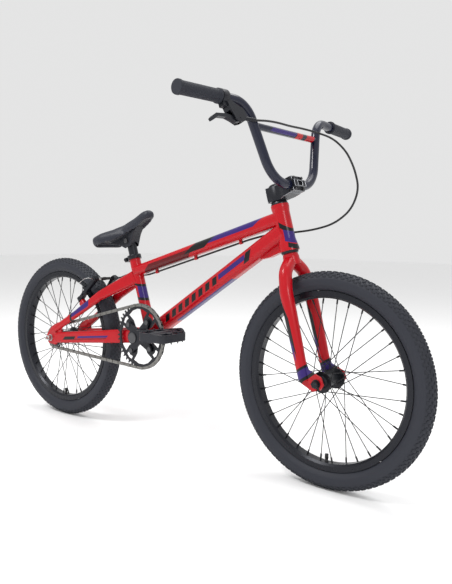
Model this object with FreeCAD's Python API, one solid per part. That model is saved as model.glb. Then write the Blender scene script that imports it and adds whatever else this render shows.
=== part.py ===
"""BMX race bike, 20 inch wheels, rigid fork, single speed, rear V-brake.

Millimetres. +X is forward, +Y is the rider's left, +Z is up. The origin is on the ground,
midway between the two axles.
"""
import FreeCAD, Part
import math
import os
from FreeCAD import Vector, Placement, Rotation

# ---------------------------------------------------------------- driving dimensions
wheelbase = 960.0
wheel_radius = 251.5
running_fit = 0.05            # radial clearance of a shaft in its bearing
part_gap = 0.3                # air between pieces that pass each other

# frame
bottom_bracket_height = 295.0
head_angle = 74.1             # degrees from the ground
seat_angle = 71.8
head_tube_length = 114.5
head_tube_radius = 20.5
head_tube_top_radius = 22.0
head_tube_bottom_radius = 24.5
head_bore_radius = 17.0
seat_tube_length = 234.0      # bottom bracket centre to the top of the tube
seat_tube_radius = 15.9
seat_post_radius = 13.6
bracket_shell_radius = 24.5
bracket_shell_width = 68.0
bracket_bore_radius = 20.6
tube_wall = 1.8
top_tube_rear = (36.0, 30.0)      # width, depth
top_tube_front = (40.0, 34.0)
top_tube_drop = 32.0              # centre line meets the steering axis this far below the top
top_tube_rear_height = 475.0      # height of its centre line at the seat tube's axis
down_tube_section = (44.0, 42.0)
down_tube_lift = 3.0              # its centre line passes this far above the bracket's centre
down_tube_drop = 64.0
chain_stay_thickness = 16.0
chain_stay_rear_depth = 33.0
chain_stay_front_depth = 40.0
seat_stay_wall = 1.5
rear_hub_width = 110.0            # between the dropouts' inner faces
dropout_thickness = 6.0

# fork
fork_length = 313.3               # axle level to the head tube's lower end, along the steerer
fork_offset = 28.0
fork_leg_radius = 15.5
fork_tip_radius = 12.5
fork_wall = 2.0
front_hub_width = 100.0
fork_tip_thickness = 6.0
steerer_radius = 14.3
headset_lower_stack = 7.0
headset_upper_stack = 9.0

# stem and handlebar
stem_clamp_height = 34.0          # bar centre above the head tube's top, along the steerer
stem_reach = 50.0
stem_height = 36.0
stem_width = 48.0
bar_radius = 11.1
bar_width = 709.0
bar_wall = 1.6
bar_rise = 172.0                  # clamp to the top bends, straight up
bar_lean = 33.0                   # top bends lie this far behind the clamp
bar_lower_bend = 87.0             # half distance between the lower bends' corners
bar_lower_bend_radius = 78.0
bar_upper_bend = 151.5
bar_upper_bend_radius = 60.0
bar_sweep = 20.0                  # the ends lie this far behind the top bends
bar_drop = 1.5                    # and this far below them
crossbar_radius = 8.0
crossbar_rise = 123.0
grip_length = 118.5
grip_radius = 14.5
grip_flange_radius = 16.5

# wheels
rim_width = 30.0
rim_outer_radius = 207.4
rim_bed_radius = 203.0
rim_inner_radius = 190.0
tyre_section_radius = 23.75
tyre_wall = 3.4
axle_radius = 4.76
axle_pilot_radius = 4.3           # turned down beyond the rear nuts, where a peg goes on
axle_pilot_length = 9.0
flange_radius = 24.5
flange_thickness = 3.0
front_flange = 31.0               # from the middle plane
rear_flanges = (30.0, -24.0)      # left and right
spoke_count = 36
spoke_radius = 1.0
spoke_hole_radius = 22.2
spoke_lift = 2.1                  # extra height of the outer spokes, to pass the flange's edge
valve_radius = 3.9

# drive train
chain_pitch = 12.7
chain_links = 92
ring_teeth = 44
cog_teeth = 16
chain_line = 43.5                 # distance of the chain from the bike's middle plane
sprocket_thickness = 2.8
freewheel_core_radius = 19.0
roller_radius = 3.9
crank_length = 168.0
spindle_radius = 9.5
crank_outer_face = 74.0
crank_thickness = 16.0
crank_boss_radius = 19.0
crank_eye_radius = 15.0
spider_bolt_circle = 104.0
pedal_length = 90.0
pedal_width = 94.0
pedal_thickness = 26.0
pedal_axle_radius = 5.5
pedal_thread_radius = 7.0
crank_angle = 9.5                 # the right arm points this much above the horizontal

# saddle
seat_post_top = 281.0             # above the bottom bracket, along the seat tube
saddle_tilt = 22.0                # nose up
seat_post_insert = 90.0

# brake
boss_radial = 180.5               # pivot's distance from the rear axle
boss_angle = 46.2                 # of the pivot above the horizontal, seen from the axle
boss_half_spacing = 42.0
boss_stud_radius = 4.0
brake_arm_length = 97.0
brake_arm_depth = 13.0
pad_gap = 2.4
pad_length = 62.0
pad_radial = 21.5                 # middle of the pad above the pivot
housing_radius = 2.5
lever_clamp_side = 226.0
lever_clamp_width = 18.0
lever_pivot_side = 193.0
lever_pivot_drop = 47.0
lever_pin_radius = 2.5

# ---------------------------------------------------------------- places worked out from them
rear_axle = Vector(-wheelbase / 2, 0, wheel_radius)
front_axle = Vector(wheelbase / 2, 0, wheel_radius)
ring_radius = chain_pitch / 2 / math.sin(math.pi / ring_teeth)
cog_radius = chain_pitch / 2 / math.sin(math.pi / cog_teeth)
chain_slack = 2 * chain_links - ring_teeth - cog_teeth
tooth_step = ring_teeth - cog_teeth
chain_stay_length = chain_pitch / 8 * (
    chain_slack + math.sqrt(chain_slack ** 2 - 8 * (tooth_step / math.pi) ** 2))
bracket_rise = bottom_bracket_height - wheel_radius
bracket = rear_axle + Vector(
    math.sqrt(chain_stay_length ** 2 - bracket_rise ** 2), 0, bracket_rise)
chain_angle = math.atan2(bracket_rise, bracket.x - rear_axle.x)

steer_up = Vector(-math.cos(math.radians(head_angle)), 0, math.sin(math.radians(head_angle)))
steer_forward = Vector(steer_up.z, 0, -steer_up.x)
side = Vector(0, 1, 0)
steer_foot = front_axle - steer_forward * fork_offset
head_bottom = fork_length
head_top = head_bottom + head_tube_length

seat_up = Vector(-math.cos(math.radians(seat_angle)), 0, math.sin(math.radians(seat_angle)))
seat_tube_top = bracket + seat_up * seat_tube_length

# the brake's own directions: out along the wheel's radius, and across it towards the stay
brake_out = Vector(math.cos(math.radians(boss_angle)), 0, math.sin(math.radians(boss_angle)))
brake_across = Vector(brake_out.z, 0, -brake_out.x)
brake_pivot = rear_axle + brake_out * boss_radial


def on_steerer(height, forward=0.0, left=0.0):
    """A point given along the steering axis from the axle's level, and away from it."""
    return steer_foot + steer_up * height + steer_forward * forward + side * left


# ---------------------------------------------------------------- shape helpers
def rod(start, end, radius):
    run = end - start
    return Part.makeCylinder(radius, run.Length, start, run)


def cone(start, end, start_radius, end_radius):
    run = end - start
    return Part.makeCone(start_radius, end_radius, run.Length, start, run)


def pipe(start, end, outer, inner):
    """A straight tube, open at both ends."""
    return rod(start, end, outer).cut(rod(start, end, inner))


def block(centre, size, rotation=Rotation()):
    box = Part.makeBox(size[0], size[1], size[2], Vector(-size[0] / 2, -size[1] / 2, -size[2] / 2))
    box.Placement = Placement(centre, rotation)
    return box


def prism(points, thickness):
    """A flat outline of points, thickened along its normal by the vector given."""
    wire = Part.makePolygon(points + [points[0]])
    return Part.Face(wire).extrude(thickness)


def turned(profile, origin, axis, out):
    """A ring or shaft turned about an axis; the profile lists (radius, place along the axis)."""
    points = [origin + out * radius + axis * along for radius, along in profile]
    face = Part.Face(Part.makePolygon(points + [points[0]]))
    return face.revolve(origin, axis, 360)


def rounded_path(points, radii):
    """Straight runs through the points, joined by tangent arcs of the radii given."""
    edges = []
    start = points[0]
    for before, corner, after, radius in zip(points, points[1:], points[2:], radii):
        back = (before - corner).normalize()
        ahead = (after - corner).normalize()
        half = back.getAngle(ahead) / 2
        reach = radius / math.tan(half)
        enter = corner + back * reach
        leave = corner + ahead * reach
        bisector = (back + ahead).normalize()
        middle = corner + bisector * (radius / math.sin(half) - radius)
        edges.append(Part.LineSegment(start, enter).toShape())
        edges.append(Part.Arc(enter, middle, leave).toShape())
        start = leave
    edges.append(Part.LineSegment(start, points[-1]).toShape())
    return Part.Wire(edges)


def swept(path, radius):
    """A round bar along a path of runs and tangent arcs."""
    first = path.Edges[0]
    start = first.valueAt(first.FirstParameter)
    direction = first.tangentAt(first.FirstParameter)
    circle = Part.Wire(Part.makeCircle(radius, start, direction))
    return path.makePipeShell([circle], True, True)


def cord_radii(points):
    """The largest tangent arcs that a cord's runs leave room for."""
    radii = []
    for before, corner, after in zip(points, points[1:], points[2:]):
        turn = (corner - before).getAngle(after - corner)
        shorter = min((corner - before).Length, (after - corner).Length)
        radii.append(0.45 * shorter / math.tan(turn / 2))
    return radii


def box_outline(centre, along, up, width, depth, corner):
    """A rounded rectangle across a tube: width to the side, depth upwards."""
    along = Vector(along).normalize()
    across = up.cross(along).normalize()
    rise = along.cross(across).normalize()

    def at(u, v):
        return centre + across * u + rise * v

    half_u, half_v = width / 2, depth / 2
    flat_u, flat_v = half_u - corner, half_v - corner
    bulge = corner * math.sqrt(0.5)
    edges = []
    for su, sv in ((1, 1), (-1, 1), (-1, -1), (1, -1)):
        on_side = at(su * half_u, sv * flat_v)
        on_top = at(su * flat_u, sv * half_v)
        middle = at(su * (flat_u + bulge), sv * (flat_v + bulge))
        first, last = (on_side, on_top) if su * sv > 0 else (on_top, on_side)
        if edges:
            edges.append(Part.LineSegment(edges[-1].Vertexes[-1].Point, first).toShape())
        edges.append(Part.Arc(first, middle, last).toShape())
    start = edges[0].Vertexes[0].Point
    edges.append(Part.LineSegment(edges[-1].Vertexes[-1].Point, start).toShape())
    return Part.Wire(edges)


def lofted(outlines):
    return Part.makeLoft(outlines, True, True)


def mirrored(shape):
    """The same piece for the other side of the bike."""
    return shape.mirror(Vector(0, 0, 0), side)


def right_half():
    """The space on the bike's right, used to part two pieces that meet in the middle."""
    return Part.makeBox(4000, 2000, 4000, Vector(-2000, -2000, -2000))


def group(shapes):
    solids = []
    for shape in shapes:
        solids.extend(shape.Solids)
    return Part.makeCompound(solids)


def save(name, shape):
    solids = shape.Solids
    kept = solids[0] if len(solids) == 1 else Part.makeCompound(solids)
    kept.exportStep("parts/" + name + ".step")


# ---------------------------------------------------------------- frame
def head_tube_solid(solid=False):
    length = head_tube_length
    outer = [(head_tube_bottom_radius, 0), (head_tube_bottom_radius, 6), (head_tube_radius, 30),
             (head_tube_radius, length - 18), (head_tube_top_radius, length - 8),
             (head_tube_top_radius, length)]
    inner_radius = 0.0 if solid else head_bore_radius
    profile = [(inner_radius, 0)] + outer + [(inner_radius, length)]
    return turned(profile, on_steerer(head_bottom), steer_up, steer_forward)


def seat_tube_envelope():
    return rod(bracket, seat_tube_top, seat_tube_radius)


def bracket_envelope():
    half = bracket_shell_width / 2
    return rod(bracket - side * half, bracket + side * half, bracket_shell_radius)


def box_tube(start, end, start_size, end_size, corner):
    """A hollow tube of rounded rectangular section."""
    run = end - start
    up = Vector(0, 0, 1)
    shells = []
    for wall in (0.0, tube_wall):
        outlines = [
            box_outline(place, run, up, size[0] - 2 * wall, size[1] - 2 * wall, corner - wall)
            for place, size in ((start, start_size), (end, end_size))]
        shells.append(lofted(outlines))
    return shells[0], shells[0].cut(shells[1])


def top_tube_ends():
    front = on_steerer(head_top - top_tube_drop)
    rear_x = bracket.x - (top_tube_rear_height - bracket.z) / math.tan(math.radians(seat_angle))
    return Vector(rear_x, 0, top_tube_rear_height), front


def make_top_tube():
    rear, front = top_tube_ends()
    envelope, tube = box_tube(rear, front, top_tube_rear, top_tube_front, 12.0)
    cutters = head_tube_solid(solid=True).fuse(seat_tube_envelope())
    return envelope, tube.cut(cutters)


def make_down_tube(top_tube_envelope):
    front = on_steerer(head_top - down_tube_drop)
    rear = bracket + Vector(0, 0, down_tube_lift)
    envelope, tube = box_tube(rear, front, down_tube_section, down_tube_section, 15.0)
    tube = tube.cut(head_tube_solid(solid=True)).cut(bracket_envelope())
    return envelope, tube.cut(seat_tube_envelope()).cut(top_tube_envelope)


def make_seat_tube():
    tube = pipe(bracket, seat_tube_top, seat_tube_radius, seat_post_radius + running_fit)
    return tube.cut(bracket_envelope())


def make_bracket_shell():
    half = bracket_shell_width / 2
    return pipe(bracket - side * half, bracket + side * half,
                bracket_shell_radius, bracket_bore_radius)


def dropout_outline():
    """Corners of the rear dropout plate, forward of and above the axle."""
    corners = [(-21, 6.5), (-9, -18.5), (22, -20), (40, -4), (56, 10), (50, 34), (34, 51), (6, 37)]
    return [Vector(rear_axle.x + x, 0, rear_axle.z + z) for x, z in corners]


def make_rear_dropout():
    inner = rear_hub_width / 2
    plate = prism(dropout_outline(), side * dropout_thickness)
    slot_half = axle_radius + running_fit * 2
    slot = Part.makeBox(60, dropout_thickness, 2 * slot_half,
                        rear_axle + Vector(-60, 0, -slot_half))
    round_end = rod(rear_axle, rear_axle + side * dropout_thickness, slot_half)
    plate = plate.cut(slot.fuse(round_end))
    plate.translate(Vector(0, -inner - dropout_thickness, 0))
    return plate


def chain_stay_stations():
    """(forward of the axle, out from the middle, depth) along the right chain stay."""
    front = bracket.x - rear_axle.x
    return [(30.0, 58.5, chain_stay_rear_depth), (66.0, 55.0, 34.0), (235.0, 38.5, 38.0),
            (front - 95.0, 28.5, chain_stay_front_depth), (front - 8.0, 23.0, chain_stay_front_depth)]


def make_chain_stay(dropout):
    slope = math.tan(chain_angle)
    rise = Vector(-math.sin(chain_angle), 0, math.cos(chain_angle))
    stations = chain_stay_stations()
    shells = []
    # the hollow starts ahead of the dropout's plate, so the stay's rear end is solid round it
    for wall, used in ((0.0, stations), (tube_wall, stations[1:])):
        outlines = []
        for forward, out, depth in used:
            centre = rear_axle + Vector(forward, -out, forward * slope)
            along = Vector(math.cos(chain_angle), 0, math.sin(chain_angle))
            outlines.append(box_outline(centre, along, rise, chain_stay_thickness - 2 * wall,
                                        depth - 2 * wall, 6.0 - wall))
        shells.append(lofted(outlines))
    stay = shells[0].cut(shells[1])
    return stay.cut(bracket_envelope()).cut(dropout)


def seat_stay_stations():
    """(centre, width, depth, corner) along the right seat stay, deepest at the seat tube."""
    return [(rear_axle + Vector(24, -62.6, 29), 16.0, 20.0, 7.8),
            (rear_axle + Vector(120, -52, 87), 17.0, 22.0, 8.0),
            (rear_axle + Vector(212, -39.5, 147), 17.0, 28.0, 8.0),
            (rear_axle + Vector(330, -8.0, 207), 17.0, 42.0, 8.0)]


def seat_stay_shell(wall):
    stations = seat_stay_stations()
    run = Vector(0.866, 0, 0.5)
    outlines = [box_outline(centre, run, Vector(-0.5, 0, 0.866), width - 2 * wall,
                            depth - 2 * wall, corner - wall)
                for centre, width, depth, corner in stations]
    return lofted(outlines)


def make_seat_stay(dropout, chain_stay):
    stay = seat_stay_shell(0.0).cut(seat_stay_shell(seat_stay_wall))
    stay = stay.cut(seat_tube_envelope()).common(right_half())
    return stay.cut(dropout).cut(chain_stay)


def make_gussets(down_tube_envelope):
    """A strap below the down tube at the head, and a bridge between the seat stays."""
    low = on_steerer(head_bottom + 3)
    front = low - steer_forward * (head_tube_radius + 2)
    half_width = 9.0
    strap_points = [front, front + Vector(6, 0, 26), front + Vector(-50, 0, 4),
                    front + Vector(-56, 0, -19), front + Vector(-30, 0, -13)]
    strap = prism([point - side * half_width for point in strap_points], side * 2 * half_width)
    strap = strap.cut(head_tube_solid(solid=True)).cut(down_tube_envelope)
    stations = seat_stay_stations()
    bridge_place = stations[2][0] + (stations[3][0] - stations[2][0]) * 0.42
    half = -bridge_place.y
    bridge = rod(bridge_place, bridge_place + side * 2 * half, 7.0)
    stay = seat_stay_shell(0.0)
    bridge = bridge.cut(stay).cut(mirrored(stay))
    return group([strap, bridge])


def make_brake_bosses():
    """A bracket that stands off each seat stay and ends in the brake arm's stud."""
    stay = seat_stay_shell(0.0)
    base = brake_pivot - side * boss_half_spacing
    seat = brake_across * (brake_arm_depth / 2 + part_gap)
    foot = brake_across * 31
    bracket_post = cone(base + seat, base + foot, 7.0, 10.0)
    web = block(base + brake_across * 18 - brake_out * 2, (20, 9, 22),
                Rotation(Vector(0, 1, 0), math.degrees(math.asin(-brake_across.z))))
    stud = rod(base - brake_across * (brake_arm_depth / 2 + 1), base + foot, boss_stud_radius)
    boss = bracket_post.fuse(web).fuse(stud).cut(stay)
    boss = max(boss.Solids, key=lambda solid: solid.Volume)
    return group([boss, mirrored(boss)])


def make_seat_clamp():
    base = seat_tube_top - seat_up * 9
    top = seat_tube_top + seat_up * 3
    outer = seat_tube_radius + 4
    ring = rod(base, top, outer)
    behind = Vector(-seat_up.z, 0, seat_up.x)
    ears = block(base + seat_up * 6 + behind * (outer + 4), (16, 20, 12),
                 Rotation(Vector(0, 1, 0), seat_angle - 90))
    bore = rod(base, seat_tube_top, seat_tube_radius + running_fit)
    above = rod(seat_tube_top, top + seat_up, seat_post_radius + running_fit)
    split = block(base + seat_up * 6 + behind * (outer + 2), (24, 2.5, 20),
                  Rotation(Vector(0, 1, 0), seat_angle - 90))
    bolt_centre = base + seat_up * 6 + behind * (outer + 5)
    hole = rod(bolt_centre - side * 14, bolt_centre + side * 14, 3.05)
    collar = ring.fuse(ears).cut(bore).cut(above).cut(split).cut(hole)
    bolt = rod(bolt_centre - side * 12, bolt_centre + side * 12, 3.0)
    head = rod(bolt_centre - side * 15, bolt_centre - side * 10.05, 5.0)
    nut = rod(bolt_centre + side * 10.05, bolt_centre + side * 14, 5.0)
    return group([collar, bolt.fuse(head).fuse(nut)])


def make_bracket_cups():
    half = bracket_shell_width / 2
    outer = bracket_bore_radius - running_fit
    profile = [(spindle_radius + running_fit, -half + 16), (outer, -half + 16),
               (outer, -half), (bracket_shell_radius - 2, -half),
               (bracket_shell_radius - 2, -half - 3), (spindle_radius + running_fit, -half - 3)]
    cup = turned(profile, bracket, side, Vector(1, 0, 0))
    return group([cup, mirrored(cup)])


def make_headset_cups():
    bore = steerer_radius + running_fit
    lower = [(bore, 12), (head_bore_radius, 12), (head_bore_radius, 0), (21.5, 0), (20.0, -5.5),
             (bore, -5.5)]
    upper = [(bore, -12), (head_bore_radius, -12), (head_bore_radius, 0), (20.5, 0), (20.5, 3),
             (18.0, headset_upper_stack - part_gap), (bore, headset_upper_stack - part_gap)]
    lower_cup = turned(lower, on_steerer(head_bottom), steer_up, steer_forward)
    upper_cup = turned(upper, on_steerer(head_top), steer_up, steer_forward)
    return group([lower_cup, upper_cup])


def make_rear_axle():
    half = rear_hub_width / 2
    end = half + dropout_thickness + 20
    shoulder = end - axle_pilot_length
    profile = [(0, -end), (axle_pilot_radius, -end), (axle_pilot_radius, -shoulder),
               (axle_radius, -shoulder), (axle_radius, -half), (9.5, -half),
               (9.5, -half + 3.5), (axle_radius, -half + 3.5), (axle_radius, half - 12),
               (9.5, half - 12), (9.5, half), (axle_radius, half), (axle_radius, shoulder),
               (axle_pilot_radius, shoulder), (axle_pilot_radius, end), (0, end)]
    return turned(profile, rear_axle, side, Vector(1, 0, 0))


def hexagon(centre, across_flats, thickness):
    corner = across_flats / math.sqrt(3)
    points = [centre + Vector(corner * math.cos(math.radians(60 * i)), 0,
                              corner * math.sin(math.radians(60 * i))) for i in range(6)]
    return prism(points, side * thickness)


def make_rear_nuts():
    """Washer and track nut on the right; the left one is its mirror image."""
    face = -rear_hub_width / 2 - dropout_thickness
    hole = rod(rear_axle + side * (face - 20), rear_axle + side * face,
               axle_radius + running_fit)
    washer = rod(rear_axle + side * (face - 2), rear_axle + side * face, 10.5)
    nut = hexagon(rear_axle + side * (face - 11), 15.0, 9.0)
    nut = washer.fuse(nut).cut(hole)
    return group([nut, mirrored(nut)])


# ---------------------------------------------------------------- cable run
housing_front_points = [
    Vector(366, -148, 832), Vector(371, -112, 836), Vector(372, -68, 838), Vector(373, -20, 837),
    Vector(376, 28, 838), Vector(386, 72, 835), Vector(416, 107, 822), Vector(451, 112, 788),
    Vector(478, 105, 743), Vector(494, 98, 694), Vector(480, 88, 645), Vector(443, 74, 612),
    Vector(398, 54, 597), Vector(350, 36, 590), Vector(298, 19, 586)]
guide_drop = 6.5                  # cable's centre below the top tube's underside
guide_places = (0.74, 0.44, 0.15)   # shares of the way along the top tube, front to rear


def guide_points():
    rear, front = top_tube_ends()
    run = front - rear
    down = Vector(run.z, 0, -run.x).normalize()
    points = []
    for share in guide_places:
        depth = top_tube_rear[1] + (top_tube_front[1] - top_tube_rear[1]) * share
        points.append(rear + run * share + down * (depth / 2 + guide_drop))
    return points, run.normalize(), down


noodle_start = Vector(-262, 62, 457)


def housing_rear_points():
    """From the last guide, past the seat tube's left side, to the brake's noodle."""
    points, along, down = guide_points()
    last = points[-1] - along * 5
    before_end = Vector(-204, 53, 458)
    gap = (before_end - noodle_start).normalize() * 1.5
    return [last, last + Vector(-38, 8, -9), Vector(-160, 34, 461), before_end,
            noodle_start + gap]


def make_housing_front():
    points, along, down = guide_points()
    route = housing_front_points + [points[0] + along * 30, points[0] - along * 20]
    radii = cord_radii(route)
    loop = swept(rounded_path(route, radii), housing_radius)
    last_run = rod(route[-1], points[-1] - along * 4, housing_radius)
    print("front housing arcs", [round(radius) for radius in radii])
    return loop.fuse(last_run)


def make_housing_rear():
    route = housing_rear_points()
    radii = cord_radii(route)
    print("rear housing arcs", [round(radius) for radius in radii])
    return swept(rounded_path(route, radii), housing_radius)


def make_cable_guides(top_tube_envelope):
    points, along, down = guide_points()
    guides = []
    for point in points:
        eye = rod(point - along * 4, point + along * 4, housing_radius + 2)
        stem = block(point - down * 5, (8, 5, 10),
                     Rotation(Vector(0, 1, 0), -math.degrees(math.atan2(along.z, along.x))))
        hole = rod(point - along * 8, point + along * 8, housing_radius + running_fit * 2)
        guides.append(eye.fuse(stem).cut(hole).cut(top_tube_envelope))
    return group(guides)


# ---------------------------------------------------------------- sprockets and chain
def sprocket_blank(teeth, pitch_radius, tip_height):
    """A toothed disc in the XZ plane, centred on the origin, with a gap at angle 0."""
    seat_radius = roller_radius + 0.25
    seat_angle_half = math.radians(70)
    tip_half = 1.3
    step = 2 * math.pi / teeth
    edges = []
    previous_tip = None
    first_point = None

    def polar(radius, angle):
        return Vector(radius * math.cos(angle), 0, radius * math.sin(angle))

    for tooth in range(teeth):
        angle = tooth * step
        gap = polar(pitch_radius, angle)
        enter = gap - polar(seat_radius, angle + seat_angle_half)
        bottom = gap - polar(seat_radius, angle)
        leave = gap - polar(seat_radius, angle - seat_angle_half)
        tip_radius = pitch_radius + tip_height
        tip_before = polar(tip_radius, angle - step / 2 + tip_half / tip_radius)
        tip_after = polar(tip_radius, angle + step / 2 - tip_half / tip_radius)
        if previous_tip is not None:
            edges.append(Part.LineSegment(previous_tip, tip_before).toShape())
        else:
            first_point = tip_before
        edges.append(Part.LineSegment(tip_before, enter).toShape())
        edges.append(Part.Arc(enter, bottom, leave).toShape())
        edges.append(Part.LineSegment(leave, tip_after).toShape())
        previous_tip = tip_after
    edges.append(Part.LineSegment(previous_tip, first_point).toShape())
    return Part.Face(Part.Wire(edges)).extrude(side * sprocket_thickness)


def place_sprocket(blank, centre, gap_angle):
    """Turn a sprocket so that a tooth gap faces the angle given, and move it to its centre."""
    placed = blank.copy()
    place = Vector(centre.x, -chain_line - sprocket_thickness / 2, centre.z)
    placed.Placement = Placement(place,
                                 Rotation(Vector(0, 1, 0), -math.degrees(gap_angle)))
    return placed


def chain_pins():
    """The pins' places in order: round the ring, the lower run, round the cog, the upper run."""
    def on_circle(centre, radius, angle):
        return Vector(centre.x + radius * math.cos(angle), -chain_line,
                      centre.z + radius * math.sin(angle))

    ring_step = 2 * math.pi / ring_teeth
    cog_step = 2 * math.pi / cog_teeth
    ring_wrap = 2 * round((math.pi / 2 + (ring_radius - cog_radius) / chain_stay_length) / ring_step)
    cog_wrap = cog_teeth // 2
    straight = (chain_links - ring_wrap - cog_wrap) // 2
    ring_pins = [on_circle(bracket, ring_radius, chain_angle + (ring_wrap / 2 - i) * ring_step)
                 for i in range(ring_wrap + 1)]
    cog_pins = [on_circle(rear_axle, cog_radius,
                          chain_angle - math.pi + (cog_wrap / 2 - i) * cog_step)
                for i in range(cog_wrap + 1)]

    def between(start, end):
        return [start + (end - start) * (i / straight) for i in range(1, straight)]

    return (ring_pins + between(ring_pins[-1], cog_pins[0]) + cog_pins
            + between(cog_pins[-1], ring_pins[0]))


def chain_plate(inner_face, thickness):
    """One side plate of a link, from the pin at the origin to the next along +X."""
    half = 4.1
    top = Part.LineSegment(Vector(0, 0, half), Vector(chain_pitch, 0, half)).toShape()
    front = Part.Arc(Vector(chain_pitch, 0, half), Vector(chain_pitch + half, 0, 0),
                     Vector(chain_pitch, 0, -half)).toShape()
    bottom = Part.LineSegment(Vector(chain_pitch, 0, -half), Vector(0, 0, -half)).toShape()
    back = Part.Arc(Vector(0, 0, -half), Vector(-half, 0, 0), Vector(0, 0, half)).toShape()
    plate = Part.Face(Part.Wire([top, front, bottom, back])).extrude(side * thickness)
    plate.translate(side * inner_face)
    return plate


def make_chain():
    pin_radius = 1.8
    inner_face, plate, gap = 1.65, 1.1, 0.05
    ends = (Vector(0, 0, 0), Vector(chain_pitch, 0, 0))
    inner = chain_plate(inner_face, plate).fuse(chain_plate(-inner_face - plate, plate))
    outer_face = inner_face + plate + gap
    outer = chain_plate(outer_face, plate).fuse(chain_plate(-outer_face - plate, plate))
    for end in ends:
        inner = inner.fuse(rod(end - side * inner_face, end + side * inner_face, roller_radius))
        outer = outer.fuse(rod(end - side * 4.4, end + side * 4.4, pin_radius))
    for end in ends:
        inner = inner.cut(rod(end - side * 5, end + side * 5, pin_radius + 0.1))
    pins = chain_pins()
    links = []
    for index, pin in enumerate(pins):
        run = pins[(index + 1) % len(pins)] - pin
        link = (outer if index % 2 else inner).copy()
        link.Placement = Placement(
            pin, Rotation(Vector(0, 1, 0), -math.degrees(math.atan2(run.z, run.x))))
        links.append(link)
    print("chain pins", len(pins))
    return group(links)


def make_chainring():
    blank = place_sprocket(sprocket_blank(ring_teeth, ring_radius, 3.6), bracket, chain_angle)
    low = -chain_line - sprocket_thickness
    high = -chain_line + sprocket_thickness

    def through(centre_radius, angle, radius):
        centre = bracket + Vector(centre_radius * math.cos(angle), 0,
                                  centre_radius * math.sin(angle))
        return rod(Vector(centre.x, low, centre.z), Vector(centre.x, high, centre.z), radius)

    hub_hole = through(0, 0, 27.0)
    ring = blank.cut(hub_hole)
    for quarter in range(4):
        middle = math.radians(90 * quarter + crank_angle)
        arm = middle + math.radians(45)
        # one large window between each two arms
        low_corner = [(27.0, -30), (52.0, -24), (74.0, -30), (77.5, -15), (78.5, 0),
                      (77.5, 15), (74.0, 30), (52.0, 24), (27.0, 30)]
        window = [bracket + Vector(r * math.cos(middle + math.radians(a)), low,
                                   r * math.sin(middle + math.radians(a)))
                  for r, a in low_corner]
        ring = ring.cut(prism(window, side * 2 * sprocket_thickness))
        # a slim slot in the ring outside each arm, and the arm's bolt hole
        slot = [bracket + Vector(r * math.cos(arm + math.radians(a)), low,
                                 r * math.sin(arm + math.radians(a)))
                for r, a in ((66.5, -9), (68.5, 0), (66.5, 9), (77.0, 9), (79.0, 0), (77.0, -9))]
        ring = ring.cut(prism(slot, side * 2 * sprocket_thickness))
        ring = ring.cut(through(spider_bolt_circle / 2, arm, 4.05))
    return ring


def make_freewheel_cog():
    blank = sprocket_blank(cog_teeth, cog_radius, 3.3)
    cog = place_sprocket(blank, rear_axle, chain_angle + math.pi)
    body = rod(rear_axle - side * 49.0, rear_axle - side * 37.5, 26.0)
    core = rod(rear_axle - side * 60, rear_axle - side * 30, freewheel_core_radius + running_fit)
    return cog.fuse(body).cut(core)


# ---------------------------------------------------------------- cranks and pedals
def link_outline(start, start_radius, end, end_radius, thickness):
    """A flat bar with round ends of two sizes, its sides tangent to both."""
    run = end - start
    lean = math.acos((start_radius - end_radius) / run.Length)
    direction = math.atan2(run.z, run.x)

    def rim(centre, radius, angle):
        return centre + Vector(radius * math.cos(angle), 0, radius * math.sin(angle))

    up, down = direction + lean, direction - lean
    edges = [Part.LineSegment(rim(start, start_radius, up), rim(end, end_radius, up)).toShape(),
             Part.Arc(rim(end, end_radius, up), rim(end, end_radius, direction),
                      rim(end, end_radius, down)).toShape(),
             Part.LineSegment(rim(end, end_radius, down), rim(start, start_radius, down)).toShape(),
             Part.Arc(rim(start, start_radius, down),
                      rim(start, start_radius, direction + math.pi),
                      rim(start, start_radius, up)).toShape()]
    return Part.Face(Part.Wire(edges)).extrude(side * thickness)


def crank_arm(direction):
    """A crank arm on the right, pointing forward (1) or back (-1)."""
    inner = crank_outer_face - crank_thickness
    start = bracket - side * crank_outer_face
    eye = start + Vector(direction * crank_length, 0, 0)
    arm = link_outline(start, crank_boss_radius, eye, crank_eye_radius, crank_thickness)
    pocket = link_outline(start + Vector(direction * 42, 0, 0), 9.0,
                          eye - Vector(direction * 32, 0, 0), 6.5, 3.0)
    boss = rod(start, bracket - side * (bracket_shell_width / 2 + 3 + 2), crank_boss_radius)
    arm = arm.fuse(boss).cut(pocket)
    arm = arm.cut(rod(start - side, bracket, spindle_radius + running_fit))
    return arm.cut(rod(eye - side, eye + side * (crank_thickness + 1), pedal_thread_radius))


def turned_up(shape):
    """A crank piece drawn level, turned to the crank's rest angle."""
    turned_shape = shape.copy()
    turned_shape.rotate(bracket, side, -crank_angle)
    return turned_shape


def make_crank_right():
    arm = crank_arm(1)
    face = -chain_line - sprocket_thickness / 2
    arm = arm.cut(rod(bracket - side * (chain_line + sprocket_thickness / 2), bracket, 26.9))
    for quarter in range(4):
        angle = math.radians(45 + 90 * quarter)
        out = Vector(math.cos(angle), 0, math.sin(angle))
        tip = bracket + out * (spider_bolt_circle / 2)
        spoke = link_outline(Vector(bracket.x, face - 6.0, bracket.z), 16.0,
                             Vector(tip.x, face - 6.0, tip.z), 8.5, 6.0)
        hole = rod(Vector(tip.x, face - 10, tip.z), Vector(tip.x, face + 5, tip.z), 4.05)
        arm = arm.fuse(spoke.cut(hole))
    bore = rod(bracket - side * 90, bracket, spindle_radius + running_fit)
    return turned_up(arm.cut(bore))


def make_crank_left():
    return turned_up(mirrored(crank_arm(-1)))


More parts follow.
